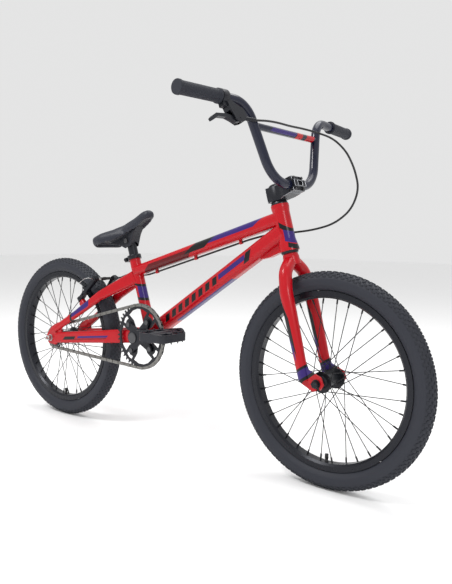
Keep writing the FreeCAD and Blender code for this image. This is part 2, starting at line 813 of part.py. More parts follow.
def make_crank_bolts():
    """Two spindle bolts with their caps, and four chainring bolts."""
    outer = crank_outer_face
    cap = turned([(0, -outer - 4), (11, -outer - 4), (14.5, -outer - 2.5), (14.5, -outer),
                  (0, -outer)], bracket, side, Vector(1, 0, 0))
    bolts = [cap, mirrored(cap)]
    face = -chain_line - sprocket_thickness / 2
    for quarter in range(4):
        angle = math.radians(45 + 90 * quarter)
        tip = bracket + Vector(math.cos(angle), 0, math.sin(angle)) * (spider_bolt_circle / 2)
        shank = rod(Vector(tip.x, face - 6, tip.z),
                    Vector(tip.x, face + sprocket_thickness, tip.z), 4.0)
        head = rod(Vector(tip.x, face - 8, tip.z), Vector(tip.x, face - 6, tip.z), 6.5)
        nut = rod(Vector(tip.x, face + sprocket_thickness, tip.z),
                  Vector(tip.x, face + sprocket_thickness + 1.2, tip.z), 6.0)
        bolts.append(shank.fuse(head).fuse(nut))
    return turned_up(group(bolts))


def pedal_place():
    """The right pedal's axle where it leaves the crank's outer face."""
    lift = math.radians(crank_angle)
    return bracket + Vector(crank_length * math.cos(lift), -crank_outer_face,
                            crank_length * math.sin(lift))


def make_pedal_axle():
    eye = pedal_place()
    thread = rod(eye + side * crank_thickness, eye, pedal_thread_radius - running_fit)
    flange = rod(eye, eye - side * 6, 9.0)
    shaft = rod(eye, eye - side * (pedal_width - 4), pedal_axle_radius)
    return thread.fuse(flange).fuse(shaft)


def left_of(shape):
    """A crank piece's twin on the left side, half a turn round the spindle."""
    twin = mirrored(shape)
    twin.rotate(bracket, side, 180)
    return twin


def make_pedal():
    eye = pedal_place()
    inner = 6.0 + part_gap
    middle = eye - side * (inner + pedal_width / 2)
    plate = block(middle, (pedal_length, pedal_width, pedal_thickness - 6))
    corners = [edge for edge in plate.Edges
               if abs(edge.Vertexes[0].Point.z - edge.Vertexes[1].Point.z) > 1]
    plate = plate.makeFillet(16.0, corners)
    barrel = rod(middle - side * (pedal_width / 2), middle + side * (pedal_width / 2),
                 pedal_thickness / 2)
    body = plate.fuse(barrel)
    for end in (-1, 1):
        for half in (-1, 1):
            window = block(middle + Vector(end * 30, half * 20, 0), (22, 30, 40))
            body = body.cut(window)
    for end in (-1, 1):
        for across in (-36, -12, 12, 36):
            for face in (-1, 1):
                foot = middle + Vector(end * (pedal_length / 2 - 3.2), 0, 0)
                if abs(across) == 36:
                    foot = middle + Vector(end * (pedal_length / 2 - 9.0), 0, 0)
                foot = foot + side * across + Vector(0, 0, face * (pedal_thickness / 2 - 3.5))
                body = body.fuse(rod(foot, foot + Vector(0, 0, face * 5.0), 1.6))
    bore = rod(eye, middle - side * (pedal_width / 2 - 5), pedal_axle_radius + running_fit)
    end_space = rod(eye - side * inner, eye - side * (inner + 3), 9.0)
    return body.cut(bore).cut(end_space)


# ---------------------------------------------------------------- wheels
def turned_on(axle, profile):
    return turned(profile, axle, side, Vector(0, 0, 1))


def make_tyre(axle):
    """The casing as a C section with two beads, open towards the rim."""
    centre = wheel_radius - tyre_section_radius
    outer, inner = tyre_section_radius, tyre_section_radius - tyre_wall
    bead_out, bead_in = rim_width / 2 - 2.4, rim_width / 2 - 6.0
    foot = rim_bed_radius + part_gap

    def at(radius, along):
        return axle + Vector(0, along, radius)

    out_low = centre - math.sqrt(outer ** 2 - bead_out ** 2)
    in_low = centre - math.sqrt(inner ** 2 - bead_in ** 2)
    edges = [
        Part.LineSegment(at(foot, bead_in), at(foot, bead_out)).toShape(),
        Part.LineSegment(at(foot, bead_out), at(out_low, bead_out)).toShape(),
        Part.Arc(at(out_low, bead_out), at(centre + outer, 0), at(out_low, -bead_out)).toShape(),
        Part.LineSegment(at(out_low, -bead_out), at(foot, -bead_out)).toShape(),
        Part.LineSegment(at(foot, -bead_out), at(foot, -bead_in)).toShape(),
        Part.LineSegment(at(foot, -bead_in), at(in_low, -bead_in)).toShape(),
        Part.Arc(at(in_low, -bead_in), at(centre + inner, 0), at(in_low, bead_in)).toShape(),
        Part.LineSegment(at(in_low, bead_in), at(foot, bead_in)).toShape()]
    casing = Part.Face(Part.Wire(edges)).revolve(axle, side, 360)
    down = Vector(0, 0, -1)
    base = rod(axle + down * (rim_bed_radius + part_gap), axle + down * (rim_bed_radius + 4), 7.5)
    stem = rod(axle + down * (rim_inner_radius - 8), axle + down * (rim_bed_radius + 3),
               valve_radius)
    cap = rod(axle + down * (rim_inner_radius - 18), axle + down * (rim_inner_radius - 7), 4.4)
    return group([casing, base.fuse(stem).fuse(cap)])


def make_rim(axle):
    half = rim_width / 2
    outer, bed, low = rim_outer_radius, rim_bed_radius, rim_inner_radius
    shell = turned_on(axle, [
        (outer, half - 1.8), (outer, half), (low + 5, half), (low, half - 5), (low, 5 - half),
        (low + 5, -half), (outer, -half), (outer, 1.8 - half), (bed, 2.0 - half),
        (bed, half - 2.0)])
    hollow = turned_on(axle, [
        (bed - 2.2, half - 2), (low + 6, half - 2), (low + 2, half - 6), (low + 2, 6 - half),
        (low + 6, 2 - half), (bed - 2.2, 2 - half)])
    down = Vector(0, 0, -1)
    hole = rod(axle + down * (low - 5), axle + down * (bed + 5), valve_radius + 0.3)
    return shell.cut(hollow).cut(hole)


def make_spokes(axle, flange_left, flange_right):
    """Three-cross lacing: every other spoke on each side leans the other way."""
    spokes = []
    head_offset = flange_thickness / 2 + spoke_radius + 0.1
    for number in range(spoke_count):
        rim_angle = math.radians(5 + 360 / spoke_count * number)
        on_left = number % 2 == 0
        lean = 1 if (number // 2) % 2 == 0 else -1
        hub_angle = rim_angle + math.radians(60) * lean
        flange = flange_left if on_left else flange_right
        outward = 1 if on_left else -1
        offset = head_offset + spoke_lift if lean > 0 else -head_offset
        hub_end = axle + Vector(spoke_hole_radius * math.cos(hub_angle),
                                flange + outward * offset,
                                spoke_hole_radius * math.sin(hub_angle))
        out = Vector(math.cos(rim_angle), 0, math.sin(rim_angle))
        rim_end = axle + out * rim_inner_radius + side * (outward * 2.5)
        run = (hub_end - rim_end).normalize()
        spoke = rod(hub_end, rim_end + run * 1.2, spoke_radius)
        nipple = rod(rim_end + run * 0.9, rim_end + run * 13.0, 2.0)
        spokes.append(spoke.fuse(nipple))
    return group(spokes)


def make_front_hub():
    inner = front_flange - flange_thickness / 2
    outer = front_flange + flange_thickness / 2
    profile = [(axle_radius + running_fit, -46), (12, -46), (12, -outer - 5), (15, -outer),
               (flange_radius, -outer), (flange_radius, -inner), (15, -inner), (13.5, -18)]
    profile = profile + [(radius, -along) for radius, along in reversed(profile)]
    return turned_on(front_axle, profile)


def make_rear_hub():
    left, right = rear_flanges
    half_flange = flange_thickness / 2
    shell = turned_on(rear_axle, [
        (axle_radius + running_fit, -50.5), (16.5, -50.5), (16.5, right - half_flange),
        (flange_radius, right - half_flange), (flange_radius, right + half_flange),
        (17, right + half_flange), (16, 0), (17, left - half_flange),
        (flange_radius, left - half_flange), (flange_radius, left + half_flange),
        (16, left + half_flange), (14, 42.5),
        (axle_radius + running_fit, 42.5)])
    core = turned_on(rear_axle, [(16.5, -50), (freewheel_core_radius, -50),
                                 (freewheel_core_radius, right - 11), (16.5, right - 11)])
    return group([shell, core])


def make_front_axle():
    half = front_hub_width / 2
    end = half + fork_tip_thickness + 8
    profile = [(0, -end), (axle_radius, -end), (axle_radius, -half), (8.5, -half),
               (8.5, -46 - part_gap), (axle_radius, -46 - part_gap)]
    profile = profile + [(radius, -along) for radius, along in reversed(profile)]
    return turned_on(front_axle, profile)


def make_front_nuts():
    """Washer and domed nut on each end of the front axle."""
    face = -front_hub_width / 2 - fork_tip_thickness
    end = face - 8
    washer = rod(front_axle + side * (face - 2), front_axle + side * face, 10.5)
    nut = hexagon(front_axle + side * (face - 10), 15.0, 8.0)
    dome = cone(front_axle + side * (face - 10), front_axle + side * (face - 14), 7.0, 4.0)
    nut = washer.fuse(nut).fuse(dome)
    nut = nut.cut(rod(front_axle + side * (end - 0.5), front_axle, axle_radius + running_fit))
    return group([nut, mirrored(nut)])


# ---------------------------------------------------------------- fork
def crown_points():
    """Centre line of the right leg's bend, from under the crown to the straight leg."""
    leg = front_hub_width / 2 + fork_tip_thickness / 2
    knee = on_steerer(head_bottom - 96, 0, -leg)
    foot = on_steerer(10, -3, -leg)
    return [on_steerer(head_bottom - 24, 0, -8), on_steerer(head_bottom - 50, 1, -41),
            knee, knee + (foot - knee) * 0.25, foot]


def make_steerer():
    top = on_steerer(head_top + headset_upper_stack + stem_height)
    crown_top = on_steerer(head_bottom - headset_lower_stack)
    crown_low = on_steerer(head_bottom - 34)
    tube = pipe(crown_low, top, steerer_radius, steerer_radius - 3)
    neck = cone(crown_top, on_steerer(head_bottom - 14), 18.0, 19.5)
    crown = cone(on_steerer(head_bottom - 14), crown_low, 19.5, 21.0)
    bore = rod(crown_low, crown_top, steerer_radius)
    return tube.fuse(neck.fuse(crown).cut(bore))


def crown_envelope():
    return rod(on_steerer(head_bottom - 34), on_steerer(head_bottom - headset_lower_stack), 21.0)


def fork_tip_plate():
    """The tab that closes the leg and carries the front axle."""
    inner = front_hub_width / 2
    corners = [(66, -15), (66, 9), (34, 14), (12, 42), (-6, 44), (-16, 32), (-15, 14), (8, -12)]
    points = [on_steerer(height, forward, -inner - fork_tip_thickness)
              for height, forward in corners]
    plate = prism(points, side * fork_tip_thickness)
    slot_half = axle_radius + 0.1
    centre = front_axle - side * inner
    hole = rod(centre, centre - side * fork_tip_thickness, slot_half)
    slot = prism([on_steerer(height, forward, -inner - fork_tip_thickness)
                  for height, forward in ((0, fork_offset - slot_half), (0, fork_offset + slot_half),
                                          (-50, fork_offset + slot_half),
                                          (-50, fork_offset - slot_half))],
                 side * fork_tip_thickness)
    return plate.cut(hole).cut(slot)


def make_fork_leg():
    points = crown_points()
    foot = points[-1]
    bend = rounded_path(points[:-1], [44.0, 90.0])
    outer = swept(bend, fork_leg_radius).fuse(
        cone(points[-2], foot, fork_leg_radius, fork_tip_radius))
    end = foot + (points[-2] - foot).normalize() * 30
    inner = swept(bend, fork_leg_radius - fork_wall).fuse(
        cone(points[-2], end, fork_leg_radius - fork_wall, fork_tip_radius - fork_wall))
    leg_tube = outer.cut(inner)
    leg_tube = leg_tube.cut(crown_envelope()).common(right_half())
    leg_tube = max(leg_tube.Solids, key=lambda solid: solid.Volume)
    return leg_tube.fuse(fork_tip_plate())


# ---------------------------------------------------------------- stem and handlebar
def bar_centre():
    return on_steerer(head_top + stem_clamp_height, stem_reach)


def make_stem_body():
    low = head_top + headset_upper_stack
    half = stem_width / 2
    centre = bar_centre()
    steerer_clamp = rod(on_steerer(low), on_steerer(low + stem_height), steerer_radius + 6)
    # side view of the bridge from the steerer to the bar's rear half
    outline = [(low, -steerer_radius - 4), (low + stem_height, -steerer_radius - 4),
               (low + stem_height, 18.5), (low + stem_height + 6, stem_reach - 0.5),
               (low + stem_height - 30, stem_reach - 0.5), (low, 14)]
    bridge = prism([on_steerer(height, forward, -half) for height, forward in outline],
                   side * stem_width)
    waist = []
    for sign in (-1, 1):
        waist.append(prism([on_steerer(low - 5, forward, sign * out) for forward, out in
                            ((-30, half + 1), (-30, half - 4), (18, half - 6), (34, half + 1))],
                           steer_up * (stem_height + 20)))
    body = bridge.cut(waist[0]).cut(waist[1]).fuse(steerer_clamp)
    body = body.cut(rod(on_steerer(low - 1), on_steerer(low + stem_height + 9),
                        steerer_radius + running_fit))
    bar_seat = rod(centre - side * stem_width, centre + side * stem_width,
                   bar_radius + running_fit)
    split = prism([on_steerer(low - 2, -steerer_radius - 12, -1.2),
                   on_steerer(low + stem_height + 8, -steerer_radius - 12, -1.2),
                   on_steerer(low + stem_height + 8, 0, -1.2), on_steerer(low - 2, 0, -1.2)],
                  side * 2.4)
    body = body.cut(bar_seat).cut(split)
    for bolt in stem_bolt_places():
        body = body.cut(rod(bolt[0] - bolt[1] * 17, bolt[0], bolt[2]))
    return max(body.Solids, key=lambda solid: solid.Volume)


def stem_bolt_places():
    """(place, direction, hole radius) of the four faceplate bolts."""
    places = []
    centre = bar_centre()
    for left in (-17.0, 17.0):
        for up in (-13.9, 13.9):
            places.append((centre + side * left + steer_up * up, steer_forward, 2.0))
    return places


def make_faceplate():
    half = stem_width / 2
    low = head_top + stem_clamp_height
    outline = [(low - 17.5, stem_reach + 1.2), (low + 17.5, stem_reach + 1.2),
               (low + 17.5, stem_reach + 12), (low + 10, stem_reach + 12),
               (low + 7.5, stem_reach + 18), (low - 7.5, stem_reach + 18),
               (low - 10, stem_reach + 12), (low - 17.5, stem_reach + 12)]
    plate = prism([on_steerer(height, forward, -half) for height, forward in outline],
                  side * stem_width)
    centre = bar_centre()
    plate = plate.cut(rod(centre - side * stem_width, centre + side * stem_width,
                          bar_radius + running_fit))
    slot = prism([on_steerer(low + up, stem_reach + 22, left) for up, left in
                  ((-6, -10), (6, -10), (6, 10), (-6, 10))], steer_forward * -8)
    plate = plate.cut(slot)
    for place, direction, radius in stem_bolt_places():
        plate = plate.cut(rod(place, place + direction * 40, radius))
    return plate


def make_stem_bolts():
    bolts = []
    for place, direction, radius in stem_bolt_places():
        head_seat = place + direction * 12
        shank = rod(place - direction * 16, head_seat, radius - running_fit)
        head = rod(head_seat, head_seat + direction * 3.6, 3.4)
        bolts.append(shank.fuse(head))
    return group(bolts)


def make_top_cap():
    top = head_top + headset_upper_stack + stem_height
    cap = turned([(0, 0), (17.5, 0), (17.5, 3), (14, 6), (0, 6)], on_steerer(top), steer_up,
                 steer_forward)
    bolt = rod(on_steerer(top + 6), on_steerer(top + 8.5), 5.0)
    return cap.fuse(bolt)


def bar_points():
    centre = bar_centre()
    top = centre + Vector(-bar_lean, 0, bar_rise)
    end = top + Vector(-bar_sweep, 0, -bar_drop)
    return (centre, centre + side * bar_lower_bend, top + side * bar_upper_bend,
            end + side * (bar_width / 2 - 2))


def bar_path(sign):
    centre, lower, upper, end = bar_points()
    if sign < 0:
        lower, upper, end = [Vector(p.x, -p.y, p.z) for p in (lower, upper, end)]
    return rounded_path([centre, lower, upper, end],
                        [bar_lower_bend_radius, bar_upper_bend_radius])


def crossbar_ends():
    centre, lower, upper, end = bar_points()
    share = crossbar_rise / bar_rise
    place = lower + (upper - lower) * share
    return Vector(place.x, -place.y, place.z), place


def make_handlebar():
    halves = []
    hollows = []
    for sign in (-1, 1):
        halves.append(swept(bar_path(sign), bar_radius))
        hollows.append(swept(bar_path(sign), bar_radius - bar_wall))
    envelope = halves[0].fuse(halves[1])
    tube = envelope.cut(hollows[0].fuse(hollows[1]))
    right_end, left_end = crossbar_ends()
    brace = pipe(right_end, left_end, crossbar_radius, crossbar_radius - bar_wall)
    brace = brace.cut(envelope)
    brace = max(brace.Solids, key=lambda solid: solid.Volume)
    return group([tube.removeSplitter(), brace])


def grip_axis(sign):
    centre, lower, upper, end = bar_points()
    if sign < 0:
        upper = Vector(upper.x, -upper.y, upper.z)
        end = Vector(end.x, -end.y, end.z)
    inward = (upper - end).normalize()
    return end - inward * 2, inward


def make_grip(sign):
    end, inward = grip_axis(sign)
    across = Vector(0, 0, 1).cross(inward).normalize()
    bore = bar_radius + running_fit
    profile = [(0, 0), (grip_radius + 1, 0), (grip_flange_radius - 0.5, 2), (grip_flange_radius - 0.5, 7),
               (grip_radius, 9), (grip_radius, grip_length - 6),
               (grip_flange_radius, grip_length - 4), (grip_flange_radius, grip_length),
               (bore, grip_length), (bore, 2), (0, 2)]
    return turned(profile, end, inward, across)


# ---------------------------------------------------------------- brake lever
def lever_frame():
    """Clamp centre on the bar, the bar's direction inboard, and the lever's way down."""
    centre, lower, upper, end = bar_points()
    upper = Vector(upper.x, -upper.y, upper.z)
    end = Vector(end.x, -end.y, end.z)
    inboard = (upper - end).normalize()
    clamp = upper - inboard * ((lever_clamp_side - bar_upper_bend) / inboard.y)
    down = Vector(0.33, 0, -0.944).normalize()
    axis = inboard.cross(down).normalize()
    down = axis.cross(inboard).normalize()
    return clamp, inboard, down, axis


def lever_point(out, drop):
    """A point in the lever's plane: out along the bar from the clamp, and below the bar."""
    clamp, inboard, down, axis = lever_frame()
    return clamp + inboard * (lever_clamp_side - out) + down * drop


def lever_plate(corners, near, far):
    clamp, inboard, down, axis = lever_frame()
    points = [lever_point(out, drop) + axis * near for out, drop in corners]
    return prism(points, axis * (far - near))


def make_lever_perch():
    clamp, inboard, down, axis = lever_frame()
    half = lever_clamp_width / 2
    ring = rod(clamp - inboard * half, clamp + inboard * half, bar_radius + 5.5)
    ears = lever_plate([(235, 8), (235, 24), (217, 24), (217, 8)], -7, 7)
    body = lever_plate([(226, 10), (219, 30), (209, 52), (196, 58), (182, 54), (172, 40),
                        (176, 27), (200, 15), (217, 8)], -10, 10)
    slot = lever_plate([(262, 32), (262, 66), (183, 66), (183, 40), (200, 32)], -6.4, 6.4)
    pivot = lever_point(lever_pivot_side, lever_pivot_drop)
    bar_hole = rod(clamp - inboard * 30, clamp + inboard * 30, bar_radius + running_fit)
    hole = rod(pivot - axis * 12, pivot + axis * 12, lever_pin_radius)
    perch = ring.fuse(ears).fuse(body).cut(slot).cut(bar_hole).cut(hole)
    perch = max(perch.Solids, key=lambda solid: solid.Volume)
    pin = rod(pivot - axis * 10.5, pivot + axis * 10.5, lever_pin_radius)
    barrel_start = lever_point(173.5, 42)
    mouth = housing_front_points[0]
    barrel = rod(barrel_start, mouth, 4.6).cut(rod(mouth, mouth + (barrel_start - mouth) * 0.3, 3.2))
    barrel = barrel.cut(perch)
    return group([perch, pin, barrel])


def make_brake_lever():
    """The blade: a hooked lever that swings towards the grip."""
    clamp, inboard, down, axis = lever_frame()
    blade = lever_plate([(186, 45), (192, 55), (206, 57.5), (233, 49.5), (259, 51), (268, 58),
                         (277, 62.5), (280, 57), (273, 51), (262, 44.5), (233, 41.5),
                         (207, 44), (197, 36.5), (188, 39)], -5.8, 5.8)
    pivot = lever_point(lever_pivot_side, lever_pivot_drop)
    hole = rod(pivot - axis * 12, pivot + axis * 12, lever_pin_radius + running_fit)
    return blade.cut(hole)


# ---------------------------------------------------------------- rear brake
def brake_at(up, out, across=0.0):
    """A point on the brake: up along the wheel's radius from the pivot, out to the right."""
    return brake_pivot + brake_out * up - side * out + brake_across * across


def make_brake_arm():
    """The right arm with its pad; the arm's bore runs on the boss's stud."""
    half = brake_arm_depth / 2
    hub = rod(brake_at(0, boss_half_spacing, -half), brake_at(0, boss_half_spacing, half), 10.0)
    corners = [(-4, 35), (-4, 49), (30, 49), (brake_arm_length, 43), (brake_arm_length, 30.5),
               (70, 31), (30, 37), (14, 34)]
    blade = prism([brake_at(up, out, -half + 1) for up, out in corners],
                  brake_across * (brake_arm_depth - 2))
    head = rod(brake_at(brake_arm_length - 8, 29), brake_at(brake_arm_length - 8, 46), 7.0)
    arm = hub.fuse(blade).fuse(head)
    pad_inner = rim_width / 2 + pad_gap
    stud = rod(brake_at(pad_radial, pad_inner + 8), brake_at(pad_radial, 53), 3.0)
    arm = arm.fuse(stud)
    arm = arm.cut(rod(brake_at(0, boss_half_spacing, -half - 1),
                      brake_at(0, boss_half_spacing, half + 1), boss_stud_radius + running_fit))
    cable_hole = rod(brake_at(brake_arm_length - 8, 25), brake_at(brake_arm_length - 8, 50), 1.6)
    arm = arm.cut(cable_hole)
    pad_points = []
    for across in (-pad_length / 2, -pad_length / 4, 0, pad_length / 4, pad_length / 2):
        sag = math.sqrt((boss_radial + pad_radial) ** 2 - across ** 2) - boss_radial
        pad_points.append((sag, across))
    low = [brake_at(up - 5.0, pad_inner, across) for up, across in pad_points]
    high = [brake_at(up + 5.0, pad_inner, across) for up, across in reversed(pad_points)]
    pad = prism(low + high, side * -9.0)
    pad = pad.cut(stud)
    return group([arm, pad])


def make_noodle():
    """The bent tube that leads the cable into the left arm."""
    up = brake_arm_length - 8
    mouth = brake_at(up, -48.5)
    corner = Vector(mouth.x, mouth.y + 14, mouth.z)
    path = rounded_path([mouth, corner, noodle_start], [9.0])
    tube = swept(path, 2.6)
    stop = rod(brake_at(up, -46.3), brake_at(up, -51), 5.0)
    return tube.fuse(stop)


def make_boot():
    """The rubber boot and the cable between the two arm heads, and the cable's crimped tail."""
    up = brake_arm_length - 8
    boot = turned([(1.0, -27), (4.2, -27), (4.2, -8), (5.2, -6), (4.2, -4), (5.2, -2), (4.2, 0),
                   (5.2, 2), (4.2, 4), (4.2, 20), (1.0, 20)], brake_at(up, 0), side, brake_out)
    tail_points = [brake_at(up, 47), brake_at(up + 2, 58, -3), brake_at(up - 8, 66, -12),
                   brake_at(up - 30, 66, -18)]
    straight = rod(brake_at(up, -28), brake_at(up, 47), 0.9)
    tail = swept(rounded_path(tail_points, cord_radii(tail_points)), 0.9)
    tip_direction = (tail_points[-1] - tail_points[-2]).normalize()
    crimp = rod(tail_points[-1], tail_points[-1] + tip_direction * 8, 1.5)
    return group([boot, straight.fuse(tail).fuse(crimp)])


# ---------------------------------------------------------------- seat
def seat_place(forward, up, left=0.0):
    """A point in the saddle's tilted frame, from the top of the seat post."""
    tilt = math.radians(saddle_tilt)
    top = bracket + seat_up * seat_post_top
    return (top + Vector(math.cos(tilt), 0, math.sin(tilt)) * forward
            + Vector(-math.sin(tilt), 0, math.cos(tilt)) * up + side * left)


# (forward, half width, low, high) of the saddle, nose last
saddle_stations = [(-110, 42, 22, 39), (-95, 59, 13, 46), (-66, 60, 5, 46.5), (-30, 45, 3, 45),
                   (8, 27, 10, 46), (50, 20, 15, 50.5), (84, 18.5, 21, 55), (101, 15, 27, 53),
                   (109, 8.5, 33, 47)]


def saddle_loft(shrink, low_shift, high_shift):
    along = seat_place(1, 0) - seat_place(0, 0)
    rise = seat_place(0, 1) - seat_place(0, 0)
    outlines = []
    for forward, half, low, high in saddle_stations:
        bottom = low + low_shift
        top = high + high_shift
        width = 2 * (half - shrink)
        depth = top - bottom
        corner = min(width, depth) * 0.42
        outlines.append(box_outline(seat_place(forward, (bottom + top) / 2), along, rise,
                                    width, depth, corner))
    return lofted(outlines)


saddle_stations_inner = saddle_stations[1:-1]


def saddle_core(shrink, above_low, below_high, floor=None):
    """A block inside the saddle, used for the shell and for the hollow it sits in."""
    along = seat_place(1, 0) - seat_place(0, 0)
    rise = seat_place(0, 1) - seat_place(0, 0)
    outlines = []
    for forward, half, low, high in saddle_stations_inner:
        top = high - below_high
        bottom = top - floor if floor else low - above_low
        width = 2 * (half - shrink)
        outlines.append(box_outline(seat_place(forward, (bottom + top) / 2), along, rise,
                                    width, top - bottom, 2.0))
    return lofted(outlines)


def make_saddle_cover():
    cover = saddle_loft(0, 0, 0)
    hollow = saddle_core(5.0, 20.0, 18.0)
    return max(cover.cut(hollow).Solids, key=lambda solid: solid.Volume)


def make_saddle_base(cover):
    """The moulded shell under the pad and the keel that holds the seat post's head."""
    shell = saddle_core(5.0 + part_gap, 0, 18.0 + part_gap, 5.0)
    keel_outline = [(50, 31), (52, 24), (31, 7), (10, -21), (-14, -20), (-30, -6), (-66, 14),
                    (-66, 25), (0, 24)]
    keel = prism([seat_place(u, w, -18) for u, w in keel_outline], side * 36)
    inner_outline = [(44, 24), (26, 10), (6, -26), (-12, -26), (-30, -2), (-60, 17), (-60, 22),
                     (0, 20)]
    inner = prism([seat_place(u, w, -15) for u, w in inner_outline], side * 30)
    post_way = rod(seat_place(0, 0) - seat_up * 60, seat_place(0, 0) + seat_up * 2,
                   seat_post_radius + 3)
    pivot_hole = rod(seat_place(0, 0, -20), seat_place(0, 0, 20), 4.05)
    keel = keel.cut(inner).cut(post_way).cut(pivot_hole).cut(cover)
    base = shell.fuse(keel)
    return max(base.Solids, key=lambda solid: solid.Volume)


def make_seat_post():
    top = bracket + seat_up * seat_post_top
    low = bracket + seat_up * (seat_tube_length - seat_post_insert)
    tube = pipe(low, top - seat_up * 3, seat_post_radius, seat_post_radius - 2)
    head = rod(top - side * 14.6, top + side * 14.6, 13.0)
    head = head.cut(rod(top - side * 20, top + side * 20, 4.05))
    return tube.cut(rod(top - side * 20, top + side * 20, 12.0)).fuse(head)


def make_saddle_bolt():
    top = bracket + seat_up * seat_post_top
    shank = rod(top - side * 18, top + side * 18, 4.0)
    head = rod(top - side * 22, top - side * 18, 7.0)
    nut = rod(top + side * 18, top + side * 22, 7.0)
    return shank.fuse(head).fuse(nut)


# ---------------------------------------------------------------- all pieces
def main():
    os.makedirs("parts", exist_ok=True)
    top_envelope, top_tube = make_top_tube()
    down_envelope, down_tube = make_down_tube(top_envelope)
    dropout = make_rear_dropout()
    chain_stay = make_chain_stay(dropout)
    seat_stay = make_seat_stay(dropout, chain_stay)
    fork_leg = make_fork_leg()
    pedal_axle = make_pedal_axle()
    pedal = make_pedal()
    brake_arm = make_brake_arm()

    save("head_tube", head_tube_solid())
    save("top_tube", top_tube)
    save("down_tube", down_tube)
    save("seat_tube", make_seat_tube())
    save("bottom_bracket_shell", make_bracket_shell())
    save("chain_stay_right", chain_stay)
    save("chain_stay_left", mirrored(chain_stay))
    save("seat_stay_right", seat_stay)
    save("seat_stay_left", mirrored(seat_stay))
    save("rear_dropouts", group([dropout, mirrored(dropout)]))
    save("frame_gussets", make_gussets(down_envelope))
    save("brake_bosses", make_brake_bosses())
    save("cable_guides", make_cable_guides(top_envelope))
    save("seat_clamp", make_seat_clamp())
    save("bottom_bracket_cups", make_bracket_cups())
    save("headset_cups", make_headset_cups())
    save("rear_axle", make_rear_axle())
    save("rear_axle_nuts", make_rear_nuts())
    save("chain", make_chain())
    save("brake_housing_front", make_housing_front())
    save("brake_housing_rear", make_housing_rear())

    save("seat_post", make_seat_post())
    save("saddle_bolt", make_saddle_bolt())
    saddle_cover = make_saddle_cover()
    save("saddle_base", make_saddle_base(saddle_cover))
    save("saddle_cover", saddle_cover)

    save("fork_steerer", make_steerer())
    save("fork_leg_right", fork_leg)
    save("fork_leg_left", mirrored(fork_leg))
    save("front_axle", make_front_axle())
    save("front_axle_nuts", make_front_nuts())
    save("stem_body", make_stem_body())
    save("stem_faceplate", make_faceplate())
    save("stem_bolts", make_stem_bolts())
    save("top_cap", make_top_cap())
    save("handlebar", make_handlebar())
    save("grip_right", make_grip(-1))
    save("grip_left", make_grip(1))
    save("lever_perch", make_lever_perch())
    save("brake_lever", make_brake_lever())

    save("front_tyre", make_tyre(front_axle))
    save("front_rim", make_rim(front_axle))
    save("front_spokes", make_spokes(front_axle, front_flange, -front_flange))
    save("front_hub", make_front_hub())
    save("rear_tyre", make_tyre(rear_axle))
    save("rear_rim", make_rim(rear_axle))
    save("rear_spokes", make_spokes(rear_axle, rear_flanges[0], rear_flanges[1]))
    save("rear_hub", make_rear_hub())
    save("freewheel_cog", make_freewheel_cog())

    save("crank_spindle", rod(bracket - side * crank_outer_face, bracket + side * crank_outer_face,
                              spindle_radius))
    save("crank_arm_right", make_crank_right())
    save("crank_arm_left", make_crank_left())
    save("chainring", make_chainring())
    save("crank_bolts", make_crank_bolts())
    save("pedal_axles", group([pedal_axle, left_of(pedal_axle)]))
    save("pedal_right", pedal)
    save("pedal_left", left_of(pedal))

    save("brake_arm_right", brake_arm)
    save("brake_arm_left", mirrored(brake_arm))
    save("brake_noodle", make_noodle())
    save("brake_boot", make_boot())


main()
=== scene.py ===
import math

import bmesh
import bpy
from mathutils import Matrix, Vector


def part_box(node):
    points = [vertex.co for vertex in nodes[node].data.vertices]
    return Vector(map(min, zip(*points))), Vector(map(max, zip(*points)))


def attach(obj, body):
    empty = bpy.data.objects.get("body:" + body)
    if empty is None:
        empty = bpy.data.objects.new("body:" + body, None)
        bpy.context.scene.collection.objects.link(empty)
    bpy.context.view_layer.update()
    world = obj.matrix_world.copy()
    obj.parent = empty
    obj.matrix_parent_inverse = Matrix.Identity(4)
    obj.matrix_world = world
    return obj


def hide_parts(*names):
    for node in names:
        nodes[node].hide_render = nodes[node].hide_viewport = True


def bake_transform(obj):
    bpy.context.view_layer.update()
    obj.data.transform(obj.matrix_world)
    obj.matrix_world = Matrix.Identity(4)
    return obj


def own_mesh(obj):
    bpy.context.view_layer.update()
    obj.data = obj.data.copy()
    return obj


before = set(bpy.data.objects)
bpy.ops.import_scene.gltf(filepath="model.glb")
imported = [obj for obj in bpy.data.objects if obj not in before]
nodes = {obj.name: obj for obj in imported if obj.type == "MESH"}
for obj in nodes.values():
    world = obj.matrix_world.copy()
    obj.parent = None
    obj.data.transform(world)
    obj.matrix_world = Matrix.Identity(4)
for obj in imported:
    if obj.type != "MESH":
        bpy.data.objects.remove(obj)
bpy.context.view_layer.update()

# ---------------------------------------------------------------- main sizes, metres
WHEEL_RADIUS = 0.2515
FRONT_AXLE = Vector((0.48, 0.0, WHEEL_RADIUS))
REAR_AXLE = Vector((-0.48, 0.0, WHEEL_RADIUS))
TYRE_SECTION = 0.02375
TREAD_ROOM = 0.0013         # the casing stops this far inside the wheel's radius
SKIN_INSET = 0.0006         # the shown casing is this much slimmer than the section
MERGE_DISTANCE = 1e-6       # points closer than this are one point
FLAT_ANGLE = 1.5            # degrees; faces flatter than this to each other are joined
SHARP_ANGLE = 38.0          # degrees; edges sharper than this are broken

# linear colours
RED = (0.43, 0.001, 0.007)
DARK_RED = (0.10, 0.001, 0.003)
VIOLET = (0.030, 0.012, 0.14)
BLACK = (0.004, 0.004, 0.005)
NAVY = (0.006, 0.008, 0.024)
CHARCOAL = (0.016, 0.018, 0.027)


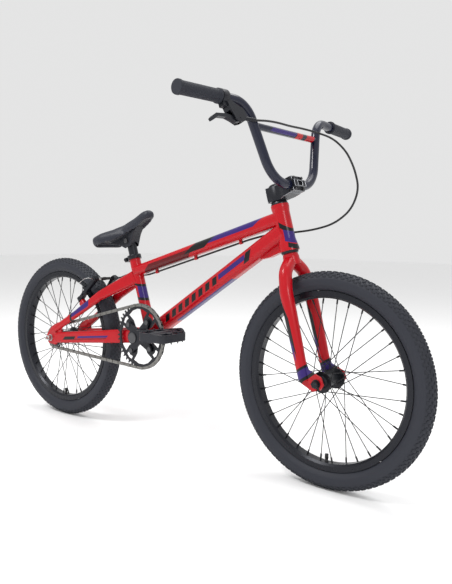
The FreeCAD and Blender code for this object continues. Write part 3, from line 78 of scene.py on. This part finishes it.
# ---------------------------------------------------------------- materials
def make_material(name, colour, rough, metal=0.0, coat=0.0, grain=0.0, grain_scale=400.0,
                  mottle=0.0, ribs=0.0, shine=0.4):
    """A principled material with fine noise for grain and uneven shine; ribs is the pitch of
    raised rings along Y, in metres."""
    mat = bpy.data.materials.new(name)
    mat.use_nodes = True
    tree = mat.node_tree
    shader = tree.nodes["Principled BSDF"]
    shader.inputs["Base Color"].default_value = (*colour, 1)
    shader.inputs["Roughness"].default_value = rough
    shader.inputs["Metallic"].default_value = metal
    shader.inputs["Coat Weight"].default_value = coat
    shader.inputs["Coat Roughness"].default_value = 0.06
    shader.inputs["Specular IOR Level"].default_value = shine
    place = tree.nodes.new("ShaderNodeTexCoord")
    noise = tree.nodes.new("ShaderNodeTexNoise")
    noise.inputs["Scale"].default_value = grain_scale
    noise.inputs["Detail"].default_value = 3.0
    tree.links.new(place.outputs["Object"], noise.inputs["Vector"])
    if grain:
        bump = tree.nodes.new("ShaderNodeBump")
        bump.inputs["Strength"].default_value = grain
        bump.inputs["Distance"].default_value = 0.0004
        tree.links.new(noise.outputs["Fac"], bump.inputs["Height"])
        tree.links.new(bump.outputs["Normal"], shader.inputs["Normal"])
    if ribs:
        wave = tree.nodes.new("ShaderNodeTexWave")
        wave.bands_direction = "Y"
        wave.inputs["Scale"].default_value = math.pi / (10 * ribs)
        tree.links.new(place.outputs["Object"], wave.inputs["Vector"])
        ridge = tree.nodes.new("ShaderNodeBump")
        ridge.inputs["Strength"].default_value = 0.8
        ridge.inputs["Distance"].default_value = 0.0012
        tree.links.new(wave.outputs["Fac"], ridge.inputs["Height"])
        if grain:
            tree.links.new(bump.outputs["Normal"], ridge.inputs["Normal"])
        tree.links.new(ridge.outputs["Normal"], shader.inputs["Normal"])
    spread = tree.nodes.new("ShaderNodeMapRange")
    spread.inputs["To Min"].default_value = max(0.02, rough - mottle)
    spread.inputs["To Max"].default_value = min(1.0, rough + mottle)
    tree.links.new(noise.outputs["Fac"], spread.inputs["Value"])
    tree.links.new(spread.outputs["Result"], shader.inputs["Roughness"])
    return mat


def math_node(tree, operation, first, second):
    """A maths node's result; first and second are each a number or another node's result."""
    node = tree.nodes.new("ShaderNodeMath")
    node.operation = operation
    for socket, value in zip(node.inputs, (first, second)):
        if isinstance(value, (int, float)):
            socket.default_value = value
        else:
            tree.links.new(value, socket)
    return node.outputs["Value"]


def dot_node(tree, vector, direction):
    """How far a vector socket reaches along a fixed direction."""
    node = tree.nodes.new("ShaderNodeVectorMath")
    node.operation = "DOT_PRODUCT"
    tree.links.new(vector, node.inputs[0])
    node.inputs[1].default_value = tuple(direction)
    return node.outputs["Value"]


# the colour sockets of a mix node, whose inputs for other types come before them
COLOUR_A, COLOUR_B, COLOUR_RESULT = 6, 7, 2


def paint(name, colour, coat=0.22):
    """Glossy paint with a slightly uneven shine."""
    return make_material(name, colour, 0.3, coat=coat, mottle=0.03, grain_scale=60.0, shine=0.22)


def banded_paint(name, base, start, end, bands, coat=0.22):
    """Paint with plain bands. A band is (from, to, low, high, slant, colour) in millimetres:
    along the tube from start, and across it; slant shifts the band's ends with height."""
    mat = paint(name, base, coat)
    tree = mat.node_tree
    shader = tree.nodes["Principled BSDF"]
    place = tree.nodes.new("ShaderNodeTexCoord")
    start, end = Vector(start), Vector(end)
    along = (end - start).normalized()
    runs_sideways = abs(along.y) > 0.5
    across = Vector((0, 0, 1)) if runs_sideways else Vector((-along.z, 0, along.x))
    t = math_node(tree, "MULTIPLY", dot_node(tree, place.outputs["Object"], along), 1000.0)
    t = math_node(tree, "SUBTRACT", t, start.dot(along) * 1000.0)
    v = math_node(tree, "MULTIPLY", dot_node(tree, place.outputs["Object"], across), 1000.0)
    v = math_node(tree, "SUBTRACT", v, start.dot(across) * 1000.0)
    result = None
    for low_t, high_t, low_v, high_v, slant, colour in bands:
        skewed = math_node(tree, "SUBTRACT", t, math_node(tree, "MULTIPLY", v, slant))
        mask = math_node(tree, "GREATER_THAN", skewed, low_t)
        for test in (math_node(tree, "LESS_THAN", skewed, high_t),
                     math_node(tree, "GREATER_THAN", v, low_v),
                     math_node(tree, "LESS_THAN", v, high_v)):
            mask = math_node(tree, "MULTIPLY", mask, test)
        mix = tree.nodes.new("ShaderNodeMix")
        mix.data_type = "RGBA"
        tree.links.new(mask, mix.inputs["Factor"])
        if result is None:
            mix.inputs[COLOUR_A].default_value = (*base, 1)
        else:
            tree.links.new(result, mix.inputs[COLOUR_A])
        mix.inputs[COLOUR_B].default_value = (*colour, 1)
        result = mix.outputs[COLOUR_RESULT]
    tree.links.new(result, shader.inputs["Base Color"])
    return mat


FULL = 60.0                 # millimetres; further across than any tube is wide
# centre lines that the bands are measured along, metres
TOP_TUBE = ((-0.152, 0, 0.475), (0.3446, 0, 0.6245))
DOWN_TUBE = ((-0.0928, 0, 0.298), (0.3534, 0, 0.5936))
HEAD_TUBE = ((0.3685, 0, 0.5418), (0.3359, 0, 0.6553))
SEAT_TUBE = ((-0.0928, 0, 0.295), (-0.1659, 0, 0.517))
SEAT_STAY = ((-0.456, 0, 0.2805), (-0.150, 0, 0.4585))
CHAIN_STAY = ((-0.48, 0, 0.2515), (-0.0928, 0, 0.295))
FORK_LEG = ((0.4529, 0, 0.244), (0.3685, 0, 0.5418))
BAR = ((0.3546, -0.2, 0.8247), (0.3546, 0.2, 0.8247))
slash_start, slash_length, slash_pitch, slash_count = 92, 17, 28, 8
slashes = [(slash_start + slash_pitch * i, slash_start + slash_length + slash_pitch * i,
            -8, 10, 0.6, BLACK) for i in range(slash_count)]
paints = {
    "top_tube": banded_paint("paint_top_tube", RED, *TOP_TUBE, [
        (60, 235, -FULL, 4, 1.5, DARK_RED), (215, 290, -6, FULL, 2.2, BLACK),
        (288, 440, 1, FULL, 2.2, VIOLET)]),
    "down_tube": banded_paint("paint_down_tube", RED, *DOWN_TUBE, slashes + [
        (312, 410, -3, 9, 0.5, VIOLET), (410, 430, -11, 11, 0.9, BLACK),
        (120, 345, -FULL, -19.2, 0, VIOLET)]),
    "head_tube": banded_paint("paint_head_tube", RED, *HEAD_TUBE, [
        (60, 74, -FULL, 2, 0.9, BLACK), (30, 58, -30, -6, 0.5, VIOLET),
        (18, 30, -FULL, -12, 0.6, BLACK)]),
    "seat_tube": banded_paint("paint_seat_tube", RED, *SEAT_TUBE, [
        (104, 112, -FULL, FULL, 0.4, BLACK), (112, 146, -FULL, -2, 0.4, VIOLET),
        (146, 153, -FULL, FULL, 0.4, BLACK)]),
    "seat_stay": banded_paint("paint_seat_stay", RED, *SEAT_STAY, [
        (84, 92, -FULL, FULL, 0.6, BLACK), (92, 172, -2, FULL, 0.6, VIOLET)]),
    "chain_stay": banded_paint("paint_chain_stay", RED, *CHAIN_STAY, [
        (70, 118, -5, 3, 1.0, BLACK), (128, 250, -3, 3, 1.0, VIOLET),
        (70, 250, -7, -5, 1.0, BLACK)]),
    "fork_leg": banded_paint("paint_fork_leg", RED, *FORK_LEG, [
        (66, 156, 0, FULL, 4.0, BLACK), (44, 80, 4, FULL, 3.0, VIOLET),
        (10, 18, -FULL, FULL, -0.4, BLACK), (18, 36, -FULL, FULL, -0.4, VIOLET),
        (36, 42, -FULL, FULL, -0.4, BLACK)]),
}
red = paint("paint_red", RED)
bar_paint = banded_paint("paint_bar", NAVY, *BAR, [
    (128, 232, -5, 5, 1.2, VIOLET), (236, 262, -FULL, FULL, 0.6, RED),
    (280, 316, -FULL, FULL, 0.6, RED)], coat=0.35)
black_metal = make_material("black_metal", (0.012, 0.013, 0.017), 0.33, 0.35, mottle=0.06,
                            grain_scale=220.0)
satin_black = make_material("satin_black", (0.010, 0.011, 0.016), 0.38, 0.3, grain=0.12,
                            mottle=0.08)
rim_black = make_material("rim_black", (0.010, 0.011, 0.016), 0.28, 0.4, mottle=0.05,
                          grain_scale=90.0)
spoke_black = make_material("spoke_black", (0.012, 0.012, 0.014), 0.4, 0.5)
steel = make_material("steel", (0.50, 0.50, 0.49), 0.3, 1.0, mottle=0.1, grain_scale=300.0)
dark_steel = make_material("dark_steel", (0.10, 0.10, 0.105), 0.38, 0.9, mottle=0.1)
chain_metal = make_material("chain_metal", (0.21, 0.205, 0.195), 0.34, 0.95, mottle=0.12)
# bright metal for the painted highlights along the stem's sharp edges
edge_highlight_metal = make_material("machined_edge", (0.36, 0.37, 0.39), 0.3, 1.0, mottle=0.06)
rubber = make_material("tyre_rubber", (0.017, 0.019, 0.028), 0.6, grain=0.25, grain_scale=700.0,
                       mottle=0.1)
tread_rubber = make_material("tread_rubber", (0.018, 0.020, 0.027), 0.75, grain=0.4,
                             grain_scale=600.0, mottle=0.1)
grip_rubber = make_material("grip_rubber", CHARCOAL, 0.7, grain=0.3, mottle=0.08, ribs=0.0045)
boot_rubber = make_material("boot_rubber", (0.010, 0.010, 0.011), 0.6, grain=0.2)
sleeve = make_material("housing_sleeve", (0.007, 0.007, 0.008), 0.35, mottle=0.05)
moulded = make_material("moulded_plastic", (0.010, 0.011, 0.017), 0.48, grain=0.35,
                        grain_scale=900.0, mottle=0.08)
saddle_skin = make_material("saddle_skin", (0.014, 0.016, 0.026), 0.46, grain=0.5,
                            grain_scale=1100.0, mottle=0.08)

finishes = {
    "top_tube": paints["top_tube"], "down_tube": paints["down_tube"],
    "head_tube": paints["head_tube"], "seat_tube": paints["seat_tube"],
    "seat_stay_right": paints["seat_stay"], "seat_stay_left": paints["seat_stay"],
    "chain_stay_right": paints["chain_stay"], "chain_stay_left": paints["chain_stay"],
    "fork_leg_right": paints["fork_leg"], "fork_leg_left": paints["fork_leg"],
    "bottom_bracket_shell": red, "rear_dropouts": red, "frame_gussets": red,
    "brake_bosses": red, "cable_guides": red, "fork_steerer": red,
    "handlebar": bar_paint, "seat_clamp": black_metal, "seat_post": black_metal,
    "bottom_bracket_cups": black_metal, "headset_cups": black_metal, "top_cap": black_metal,
    "rear_axle": steel, "rear_axle_nuts": steel, "front_axle": steel,
    "front_axle_nuts": black_metal, "chain": chain_metal, "freewheel_cog": dark_steel,
    "saddle_bolt": dark_steel, "saddle_base": moulded, "stem_body": satin_black,
    "stem_faceplate": satin_black, "stem_bolts": dark_steel, "grip_right": grip_rubber,
    "grip_left": grip_rubber, "lever_perch": satin_black, "brake_lever": satin_black,
    "front_rim": rim_black, "rear_rim": rim_black, "front_spokes": spoke_black,
    "rear_spokes": spoke_black, "front_hub": black_metal, "rear_hub": black_metal,
    "front_tyre": rubber, "rear_tyre": rubber, "crank_spindle": dark_steel,
    "crank_arm_right": satin_black, "crank_arm_left": satin_black, "chainring": black_metal,
    "crank_bolts": dark_steel, "pedal_axles": dark_steel, "pedal_right": moulded,
    "pedal_left": moulded, "brake_arm_right": satin_black, "brake_arm_left": satin_black,
    "brake_noodle": black_metal, "brake_boot": boot_rubber, "brake_housing_front": sleeve,
    "brake_housing_rear": sleeve, "saddle_cover": saddle_skin,
}
for node, mat in finishes.items():
    nodes[node].data.materials.clear()
    nodes[node].data.materials.append(mat)


# ---------------------------------------------------------------- mesh helpers
def welded(node):
    """A bmesh of a CAD node in its place, with doubled points merged and faces turned out."""
    bm = bmesh.new()
    bm.from_mesh(nodes[node].data)
    bm.transform(nodes[node].matrix_world)
    bmesh.ops.remove_doubles(bm, verts=bm.verts, dist=MERGE_DISTANCE)
    bmesh.ops.recalc_face_normals(bm, faces=bm.faces)
    return bm


def new_object(name, bm, mat):
    """Turn a bmesh into an object with one material; the bmesh is used up."""
    mesh = bpy.data.meshes.new(name)
    bm.to_mesh(mesh)
    bm.free()
    mesh.materials.append(mat)
    obj = bpy.data.objects.new(name, mesh)
    bpy.context.collection.objects.link(obj)
    return obj


def add_piece(name, bm, mat, body, smooth=True):
    """Turn a bmesh that is already in its place into a piece that rides on a CAD body."""
    bmesh.ops.remove_doubles(bm, verts=bm.verts, dist=MERGE_DISTANCE)
    bmesh.ops.recalc_face_normals(bm, faces=bm.faces)
    obj = new_object(name, bm, mat)
    for face in obj.data.polygons:
        face.use_smooth = smooth
    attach(obj, body)
    return obj


def soften(obj, voxel_size, relax_steps):
    """Rebuild an object's surface from voxels and relax it, which rounds its edges."""
    bpy.context.view_layer.objects.active = obj
    obj.select_set(True)
    remesh = obj.modifiers.new("voxels", "REMESH")
    remesh.mode = "VOXEL"
    remesh.voxel_size = voxel_size
    bpy.ops.object.modifier_apply(modifier=remesh.name)
    smooth = obj.modifiers.new("relax", "SMOOTH")
    smooth.factor = 0.5
    smooth.iterations = relax_steps
    bpy.ops.object.modifier_apply(modifier=smooth.name)


def box_at(bm, centre, axes, size, chamfer=0.0):
    """A small block on three unit axes; chamfer is the share by which it narrows towards the
    far end of the third axis."""
    corners = []
    for x in (-1, 1):
        for y in (-1, 1):
            for z in (-1, 1):
                shrink = 1 - chamfer if z > 0 else 1
                corners.append(bm.verts.new(centre + axes[0] * (x * size[0] / 2 * shrink)
                                            + axes[1] * (y * size[1] / 2 * shrink)
                                            + axes[2] * (z * size[2] / 2)))
    for face in ((0, 1, 3, 2), (4, 6, 7, 5), (0, 4, 5, 1), (2, 3, 7, 6), (1, 5, 7, 3),
                 (0, 2, 6, 4)):
        bm.faces.new([corners[i] for i in face])


def ring(bm, axle, profile, steps):
    """Spin a closed profile of (radius, out) about an axle that lies along Y."""
    rows = []
    for i in range(steps):
        angle = 2 * math.pi * i / steps
        out = Vector((math.cos(angle), 0, math.sin(angle)))
        rows.append([bm.verts.new(axle + out * radius + Vector((0, along, 0)))
                     for radius, along in profile])
    count = len(profile)
    for i in range(steps):
        low, high = rows[i], rows[(i + 1) % steps]
        for j in range(count):
            k = (j + 1) % count
            bm.faces.new((low[j], low[k], high[k], high[j]))


# ---------------------------------------------------------------- tyres with tread
def make_tyre(name, axle, body, node):
    """A casing in place of the CAD tyre, with tread blocks and a valve as pieces of their own."""
    centre = WHEEL_RADIUS - TREAD_ROOM - TYRE_SECTION + SKIN_INSET
    section = TYRE_SECTION - SKIN_INSET
    wall = 0.0034

    def at(angle, lift=0.0):
        """(radius, out) on the casing, at an angle round its section from the wheel's edge."""
        return (centre + (section + lift) * math.cos(angle), (section + lift) * math.sin(angle))

    # the section's outer line from bead to bead with two raised lines a side, then its inner one
    profile = []
    outer_steps, outer_end = 44, 2.56
    ridge_angles, ridge_half_width, ridge_height = (1.22, 1.86), 0.06, 0.0007
    for i in range(outer_steps + 1):
        angle = -outer_end + 2 * outer_end * i / outer_steps
        on_ridge = any(abs(abs(angle) - ridge) < ridge_half_width for ridge in ridge_angles)
        profile.append(at(angle, ridge_height if on_ridge else 0.0))
    inner = section - wall
    inner_steps, inner_end = 16, 2.42
    for i in range(inner_steps + 1):
        angle = inner_end - 2 * inner_end * i / inner_steps
        profile.append((centre + inner * math.cos(angle), inner * math.sin(angle)))
    bm = bmesh.new()
    ring(bm, axle, profile, steps=150)
    casing = add_piece(name, bm, rubber, body)
    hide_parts(node)
    # rows of tread blocks: angle round the section, size across and along, twist
    bm = bmesh.new()
    block_height, block_lift, block_chamfer = 0.0022, 0.0004, 0.16
    rows = ((0.16, 0.0062, 0.0068, 0.35), (0.46, 0.0064, 0.0066, -0.30),
            (0.74, 0.0056, 0.0074, 0.30), (0.99, 0.0044, 0.0086, 0.0))
    count = 96
    for i in range(count):
        for row, (lean, across, along, twist) in enumerate(rows):
            for sign in (-1, 1):
                stagger = 0.5 if (row + (sign > 0)) % 2 else 0.0
                turn = 2 * math.pi * (i + stagger) / count
                out = Vector((math.cos(turn), 0, math.sin(turn)))
                radius, side = at(lean * sign, block_lift)
                normal = out * math.cos(lean * sign) + Vector((0, math.sin(lean * sign), 0))
                forward = Vector((-out.z, 0, out.x))
                cross = normal.cross(forward)
                skew = math.sin(twist * sign)
                axes = (forward + cross * skew).normalized(), cross, normal
                box_at(bm, axle + out * radius + Vector((0, side, 0)), axes,
                       (along, across, block_height), block_chamfer)
    add_piece(name + "_tread", bm, tread_rubber, body, smooth=False)
    # the valve's stem, cap and nut, at the bottom of the wheel: from, to, radius
    bm = bmesh.new()
    for low, high, radius in ((0.182, 0.2062, 0.0036), (0.1725, 0.1835, 0.0042),
                              (0.1885, 0.1905, 0.0048)):
        middle = axle + Vector((0, 0, -(low + high) / 2))
        bmesh.ops.create_cone(bm, cap_ends=True, segments=20, radius1=radius, radius2=radius,
                              depth=high - low, matrix=Matrix.Translation(middle))
    add_piece(name + "_valve", bm, boot_rubber, body)


make_tyre("front_tyre_skin", FRONT_AXLE, "front_wheel", "front_tyre")
make_tyre("rear_tyre_skin", REAR_AXLE, "rear_wheel", "rear_tyre")


# ---------------------------------------------------------------- saddle cover
def padded_cover():
    """The saddle's cover, swollen by the pressure of its padding."""
    lift, fullness, cap = 0.0004, 0.0012, 0.0025
    bm = welded("saddle_cover")
    for vert in bm.verts:
        vert.normal_update()
    lifted = [vert.co + vert.normal * lift for vert in bm.verts]
    for vert, place in zip(bm.verts, lifted):
        vert.co = place
    obj = new_object("saddle_cover_pad", bm, saddle_skin)
    soften(obj, voxel_size=0.004, relax_steps=10)
    rest = [vert.co.copy() for vert in obj.data.vertices]
    cloth = obj.modifiers.new("padding", "CLOTH")
    cloth.settings.use_pressure = True
    cloth.settings.uniform_pressure_force = 4.0
    cloth.settings.effector_weights.gravity = 0.0
    cloth.settings.quality = 5
    scene = bpy.context.scene
    cloth_frames = 20
    for number in range(1, cloth_frames + 1):
        scene.frame_set(number)
    shaped = obj.evaluated_get(bpy.context.evaluated_depsgraph_get())
    swollen = [vert.co.copy() for vert in shaped.data.vertices]
    obj.modifiers.remove(cloth)
    for vert, before, after in zip(obj.data.vertices, rest, swollen):
        move = (after - before) + vert.normal * fullness
        if move.length > cap:
            move = move.normalized() * cap
        vert.co = before + move
    scene.frame_set(1)
    finer = obj.modifiers.new("finer", "SUBSURF")
    finer.levels = 1
    finer.render_levels = 1
    bpy.ops.object.modifier_apply(modifier=finer.name)
    obj.select_set(False)
    for face in obj.data.polygons:
        face.use_smooth = True
    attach(obj, "seat")
    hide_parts("saddle_cover")


padded_cover()


def smoothed_shell():
    """The saddle's moulded shell, with soft edges, drawn in a little under its cover."""
    drawn_in = 0.0015
    obj = new_object("saddle_base_moulded", welded("saddle_base"), moulded)
    soften(obj, voxel_size=0.0016, relax_steps=14)
    obj.select_set(False)
    places = [vert.co - vert.normal * drawn_in for vert in obj.data.vertices]
    for vert, place in zip(obj.data.vertices, places):
        vert.co = place
    for face in obj.data.polygons:
        face.use_smooth = True
    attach(obj, "seat")
    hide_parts("saddle_base")


smoothed_shell()


# ---------------------------------------------------------------- chamfered parts
def flattened(node):
    """A bmesh of a CAD node whose nearly flat neighbouring faces are joined into one."""
    bm = welded(node)
    bmesh.ops.dissolve_limit(bm, angle_limit=math.radians(FLAT_ANGLE), verts=bm.verts,
                             edges=bm.edges)
    return bm


def chamfered(node, body, mat, offset):
    """A copy of a CAD part with its sharp edges broken."""
    bm = flattened(node)
    sharp = [edge for edge in bm.edges if len(edge.link_faces) == 2
             and edge.calc_face_angle(0.0) > math.radians(SHARP_ANGLE)]
    bmesh.ops.bevel(bm, geom=sharp, offset=offset, segments=1, profile=0.5, affect="EDGES",
                    clamp_overlap=True)
    obj = new_object(node + "_finished", bm, mat)
    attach(obj, body)
    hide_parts(node)


for node, body, slot, mat, offset in (
        ("stem_body", "steering", "stem_black", satin_black, 0.0005),
        ("stem_faceplate", "steering", "stem_black", satin_black, 0.0005),
        ("crank_arm_right", "crank", "black_metal", satin_black, 0.0012),
        ("crank_arm_left", "crank", "black_metal", satin_black, 0.0012),
        ("pedal_right", "pedal_on_right", "pedal_plastic", moulded, 0.0010),
        ("pedal_left", "pedal_on_left", "pedal_plastic", moulded, 0.0010),
        ("brake_lever", "lever", "black_metal", satin_black, 0.0007),
        ("lever_perch", "steering", "black_metal", satin_black, 0.0007),
        ("seat_clamp", "frame", "black_metal", black_metal, 0.0006),
        ("brake_arm_right", "brake_right", "black_metal", satin_black, 0.0006),
        ("brake_arm_left", "brake_left", "black_metal", satin_black, 0.0006)):
    chamfered(node, body, mat, offset)


def edge_highlight_lines(node, body, mat, width, least_length):
    """Painted highlights: bright metal lines along a part's long sharp edges, where the edges
    catch the light.
    """
    convex_angle = math.radians(35)
    sunk = 0.25                 # share of its width by which a line lies below the edge
    bm = flattened(node)
    lines = bmesh.new()
    for edge in bm.edges:
        if len(edge.link_faces) != 2 or edge.calc_length() < least_length:
            continue
        if edge.calc_face_angle_signed(0.0) < convex_angle:
            continue
        first, last = (vert.co for vert in edge.verts)
        along = (last - first).normalized()
        out = (edge.link_faces[0].normal + edge.link_faces[1].normal).normalized()
        box_at(lines, (first + last) / 2 - out * width * sunk, (along, along.cross(out), out),
               ((last - first).length, width, width))
    bm.free()
    add_piece(node + "_edges", lines, mat, body, smooth=False)


# painted highlights along the sharp edges of the stem and its faceplate
edge_highlight_lines("stem_body", "steering", edge_highlight_metal, width=0.0009,
           least_length=0.009)
edge_highlight_lines("stem_faceplate", "steering", edge_highlight_metal, width=0.0008,
           least_length=0.007)


# ---------------------------------------------------------------- cable housing
def housing_copy(name, node, mat):
    """A copy of a CAD node, with its doubled points merged."""
    source = nodes[node]
    mesh = source.data.copy()
    mesh.transform(source.matrix_world)
    bm = bmesh.new()
    bm.from_mesh(mesh)
    bmesh.ops.remove_doubles(bm, verts=bm.verts, dist=MERGE_DISTANCE)
    bm.to_mesh(mesh)
    bm.free()
    mesh.materials.clear()
    mesh.materials.append(mat)
    obj = bpy.data.objects.new(name, mesh)
    bpy.context.collection.objects.link(obj)
    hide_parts(node)
    return obj


front_housing = housing_copy("housing_front_sleeve", "brake_housing_front", sleeve)
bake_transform(front_housing)
rear_housing = housing_copy("housing_rear_sleeve", "brake_housing_rear", sleeve)
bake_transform(rear_housing)


def cut_off(obj, y, keep_left):
    """Keep one side of a piece, cut square across the bike at y and closed again."""
    bm = bmesh.new()
    bm.from_mesh(obj.data)
    bmesh.ops.bisect_plane(bm, geom=bm.verts[:] + bm.edges[:] + bm.faces[:],
                           plane_co=(0, y, 0), plane_no=(0, 1, 0),
                           clear_inner=keep_left, clear_outer=not keep_left)
    edges = [edge for edge in bm.edges if edge.is_boundary]
    bmesh.ops.holes_fill(bm, edges=edges, sides=0)
    bm.to_mesh(obj.data)
    bm.free()


# the bellows, cut at the right arm's face, ride on the left arm, and the cable's end moves with
# the right arm
anchor_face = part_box("brake_arm_right")[1].y
boot = housing_copy("boot_bellows", "brake_boot", boot_rubber)
cut_off(boot, anchor_face, True)
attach(boot, "brake_left")
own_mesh(boot)
tail = housing_copy("cable_end", "brake_boot", steel)
cut_off(tail, anchor_face, False)
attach(tail, "brake_right")

# ---------------------------------------------------------------- floor, light, camera
floor_size, floor_drop = 30, 0.0002
bpy.ops.mesh.primitive_plane_add(size=floor_size, location=(0, 0, -floor_drop))
floor = bpy.context.object
floor.name = "floor"
floor.data.materials.append(make_material("floor_white", (0.95, 0.95, 0.95), 0.9))


def area_light(name, place, target, size, power):
    """A round lamp that faces a target; size in metres, power in watts."""
    data = bpy.data.lights.new(name, "AREA")
    data.shape = "DISK"
    data.size = size
    data.energy = power
    obj = bpy.data.objects.new(name, data)
    bpy.context.collection.objects.link(obj)
    obj.location = place
    obj.rotation_euler = (Vector(target) - Vector(place)).to_track_quat("-Z", "Y").to_euler()


area_light("key", (-0.9, -2.0, 3.2), (0, 0, 0.4), size=1.0, power=62)
area_light("fill", (2.9, -1.2, 1.7), (0.2, 0, 0.4), size=1.0, power=16)
area_light("top", (0.2, 0.9, 3.2), (0, 0, 0.4), size=2.4, power=46)

world = bpy.data.worlds.new("studio")
bpy.context.scene.world = world
world.use_nodes = True
background = world.node_tree.nodes["Background"]
background.inputs["Color"].default_value = (1, 1, 1, 1)
background.inputs["Strength"].default_value = 0.78

CAMERA_PLACE = (1.19815, -1.29974, 0.57485)
camera_data = bpy.data.cameras.new("camera")
camera = bpy.data.objects.new("camera", camera_data)
bpy.context.collection.objects.link(camera)
azimuth, elevation, roll = math.radians(39.20), math.radians(3.26), math.radians(0.85)
back = Vector((math.sin(azimuth) * math.cos(elevation), -math.cos(azimuth) * math.cos(elevation),
               math.sin(elevation)))
right = Vector((0, 0, 1)).cross(back).normalized()
up = back.cross(right)
tilted_right = right * math.cos(roll) + up * math.sin(roll)
tilted_up = up * math.cos(roll) - right * math.sin(roll)
turn = Matrix((tilted_right, tilted_up, back)).transposed()
camera.matrix_world = Matrix.Translation(CAMERA_PLACE) @ turn.to_4x4()
camera_data.lens = 39.577
camera_data.sensor_width = 36.0
camera_data.sensor_fit = "AUTO"
camera_data.shift_x = 0.0189
camera_data.shift_y = -0.0303
camera_data.clip_start = 0.05
camera_data.clip_end = 60.0
bpy.context.scene.camera = camera
# plain colours, so that the red stays as deep as it is given
bpy.context.scene.view_settings.view_transform = "Standard"
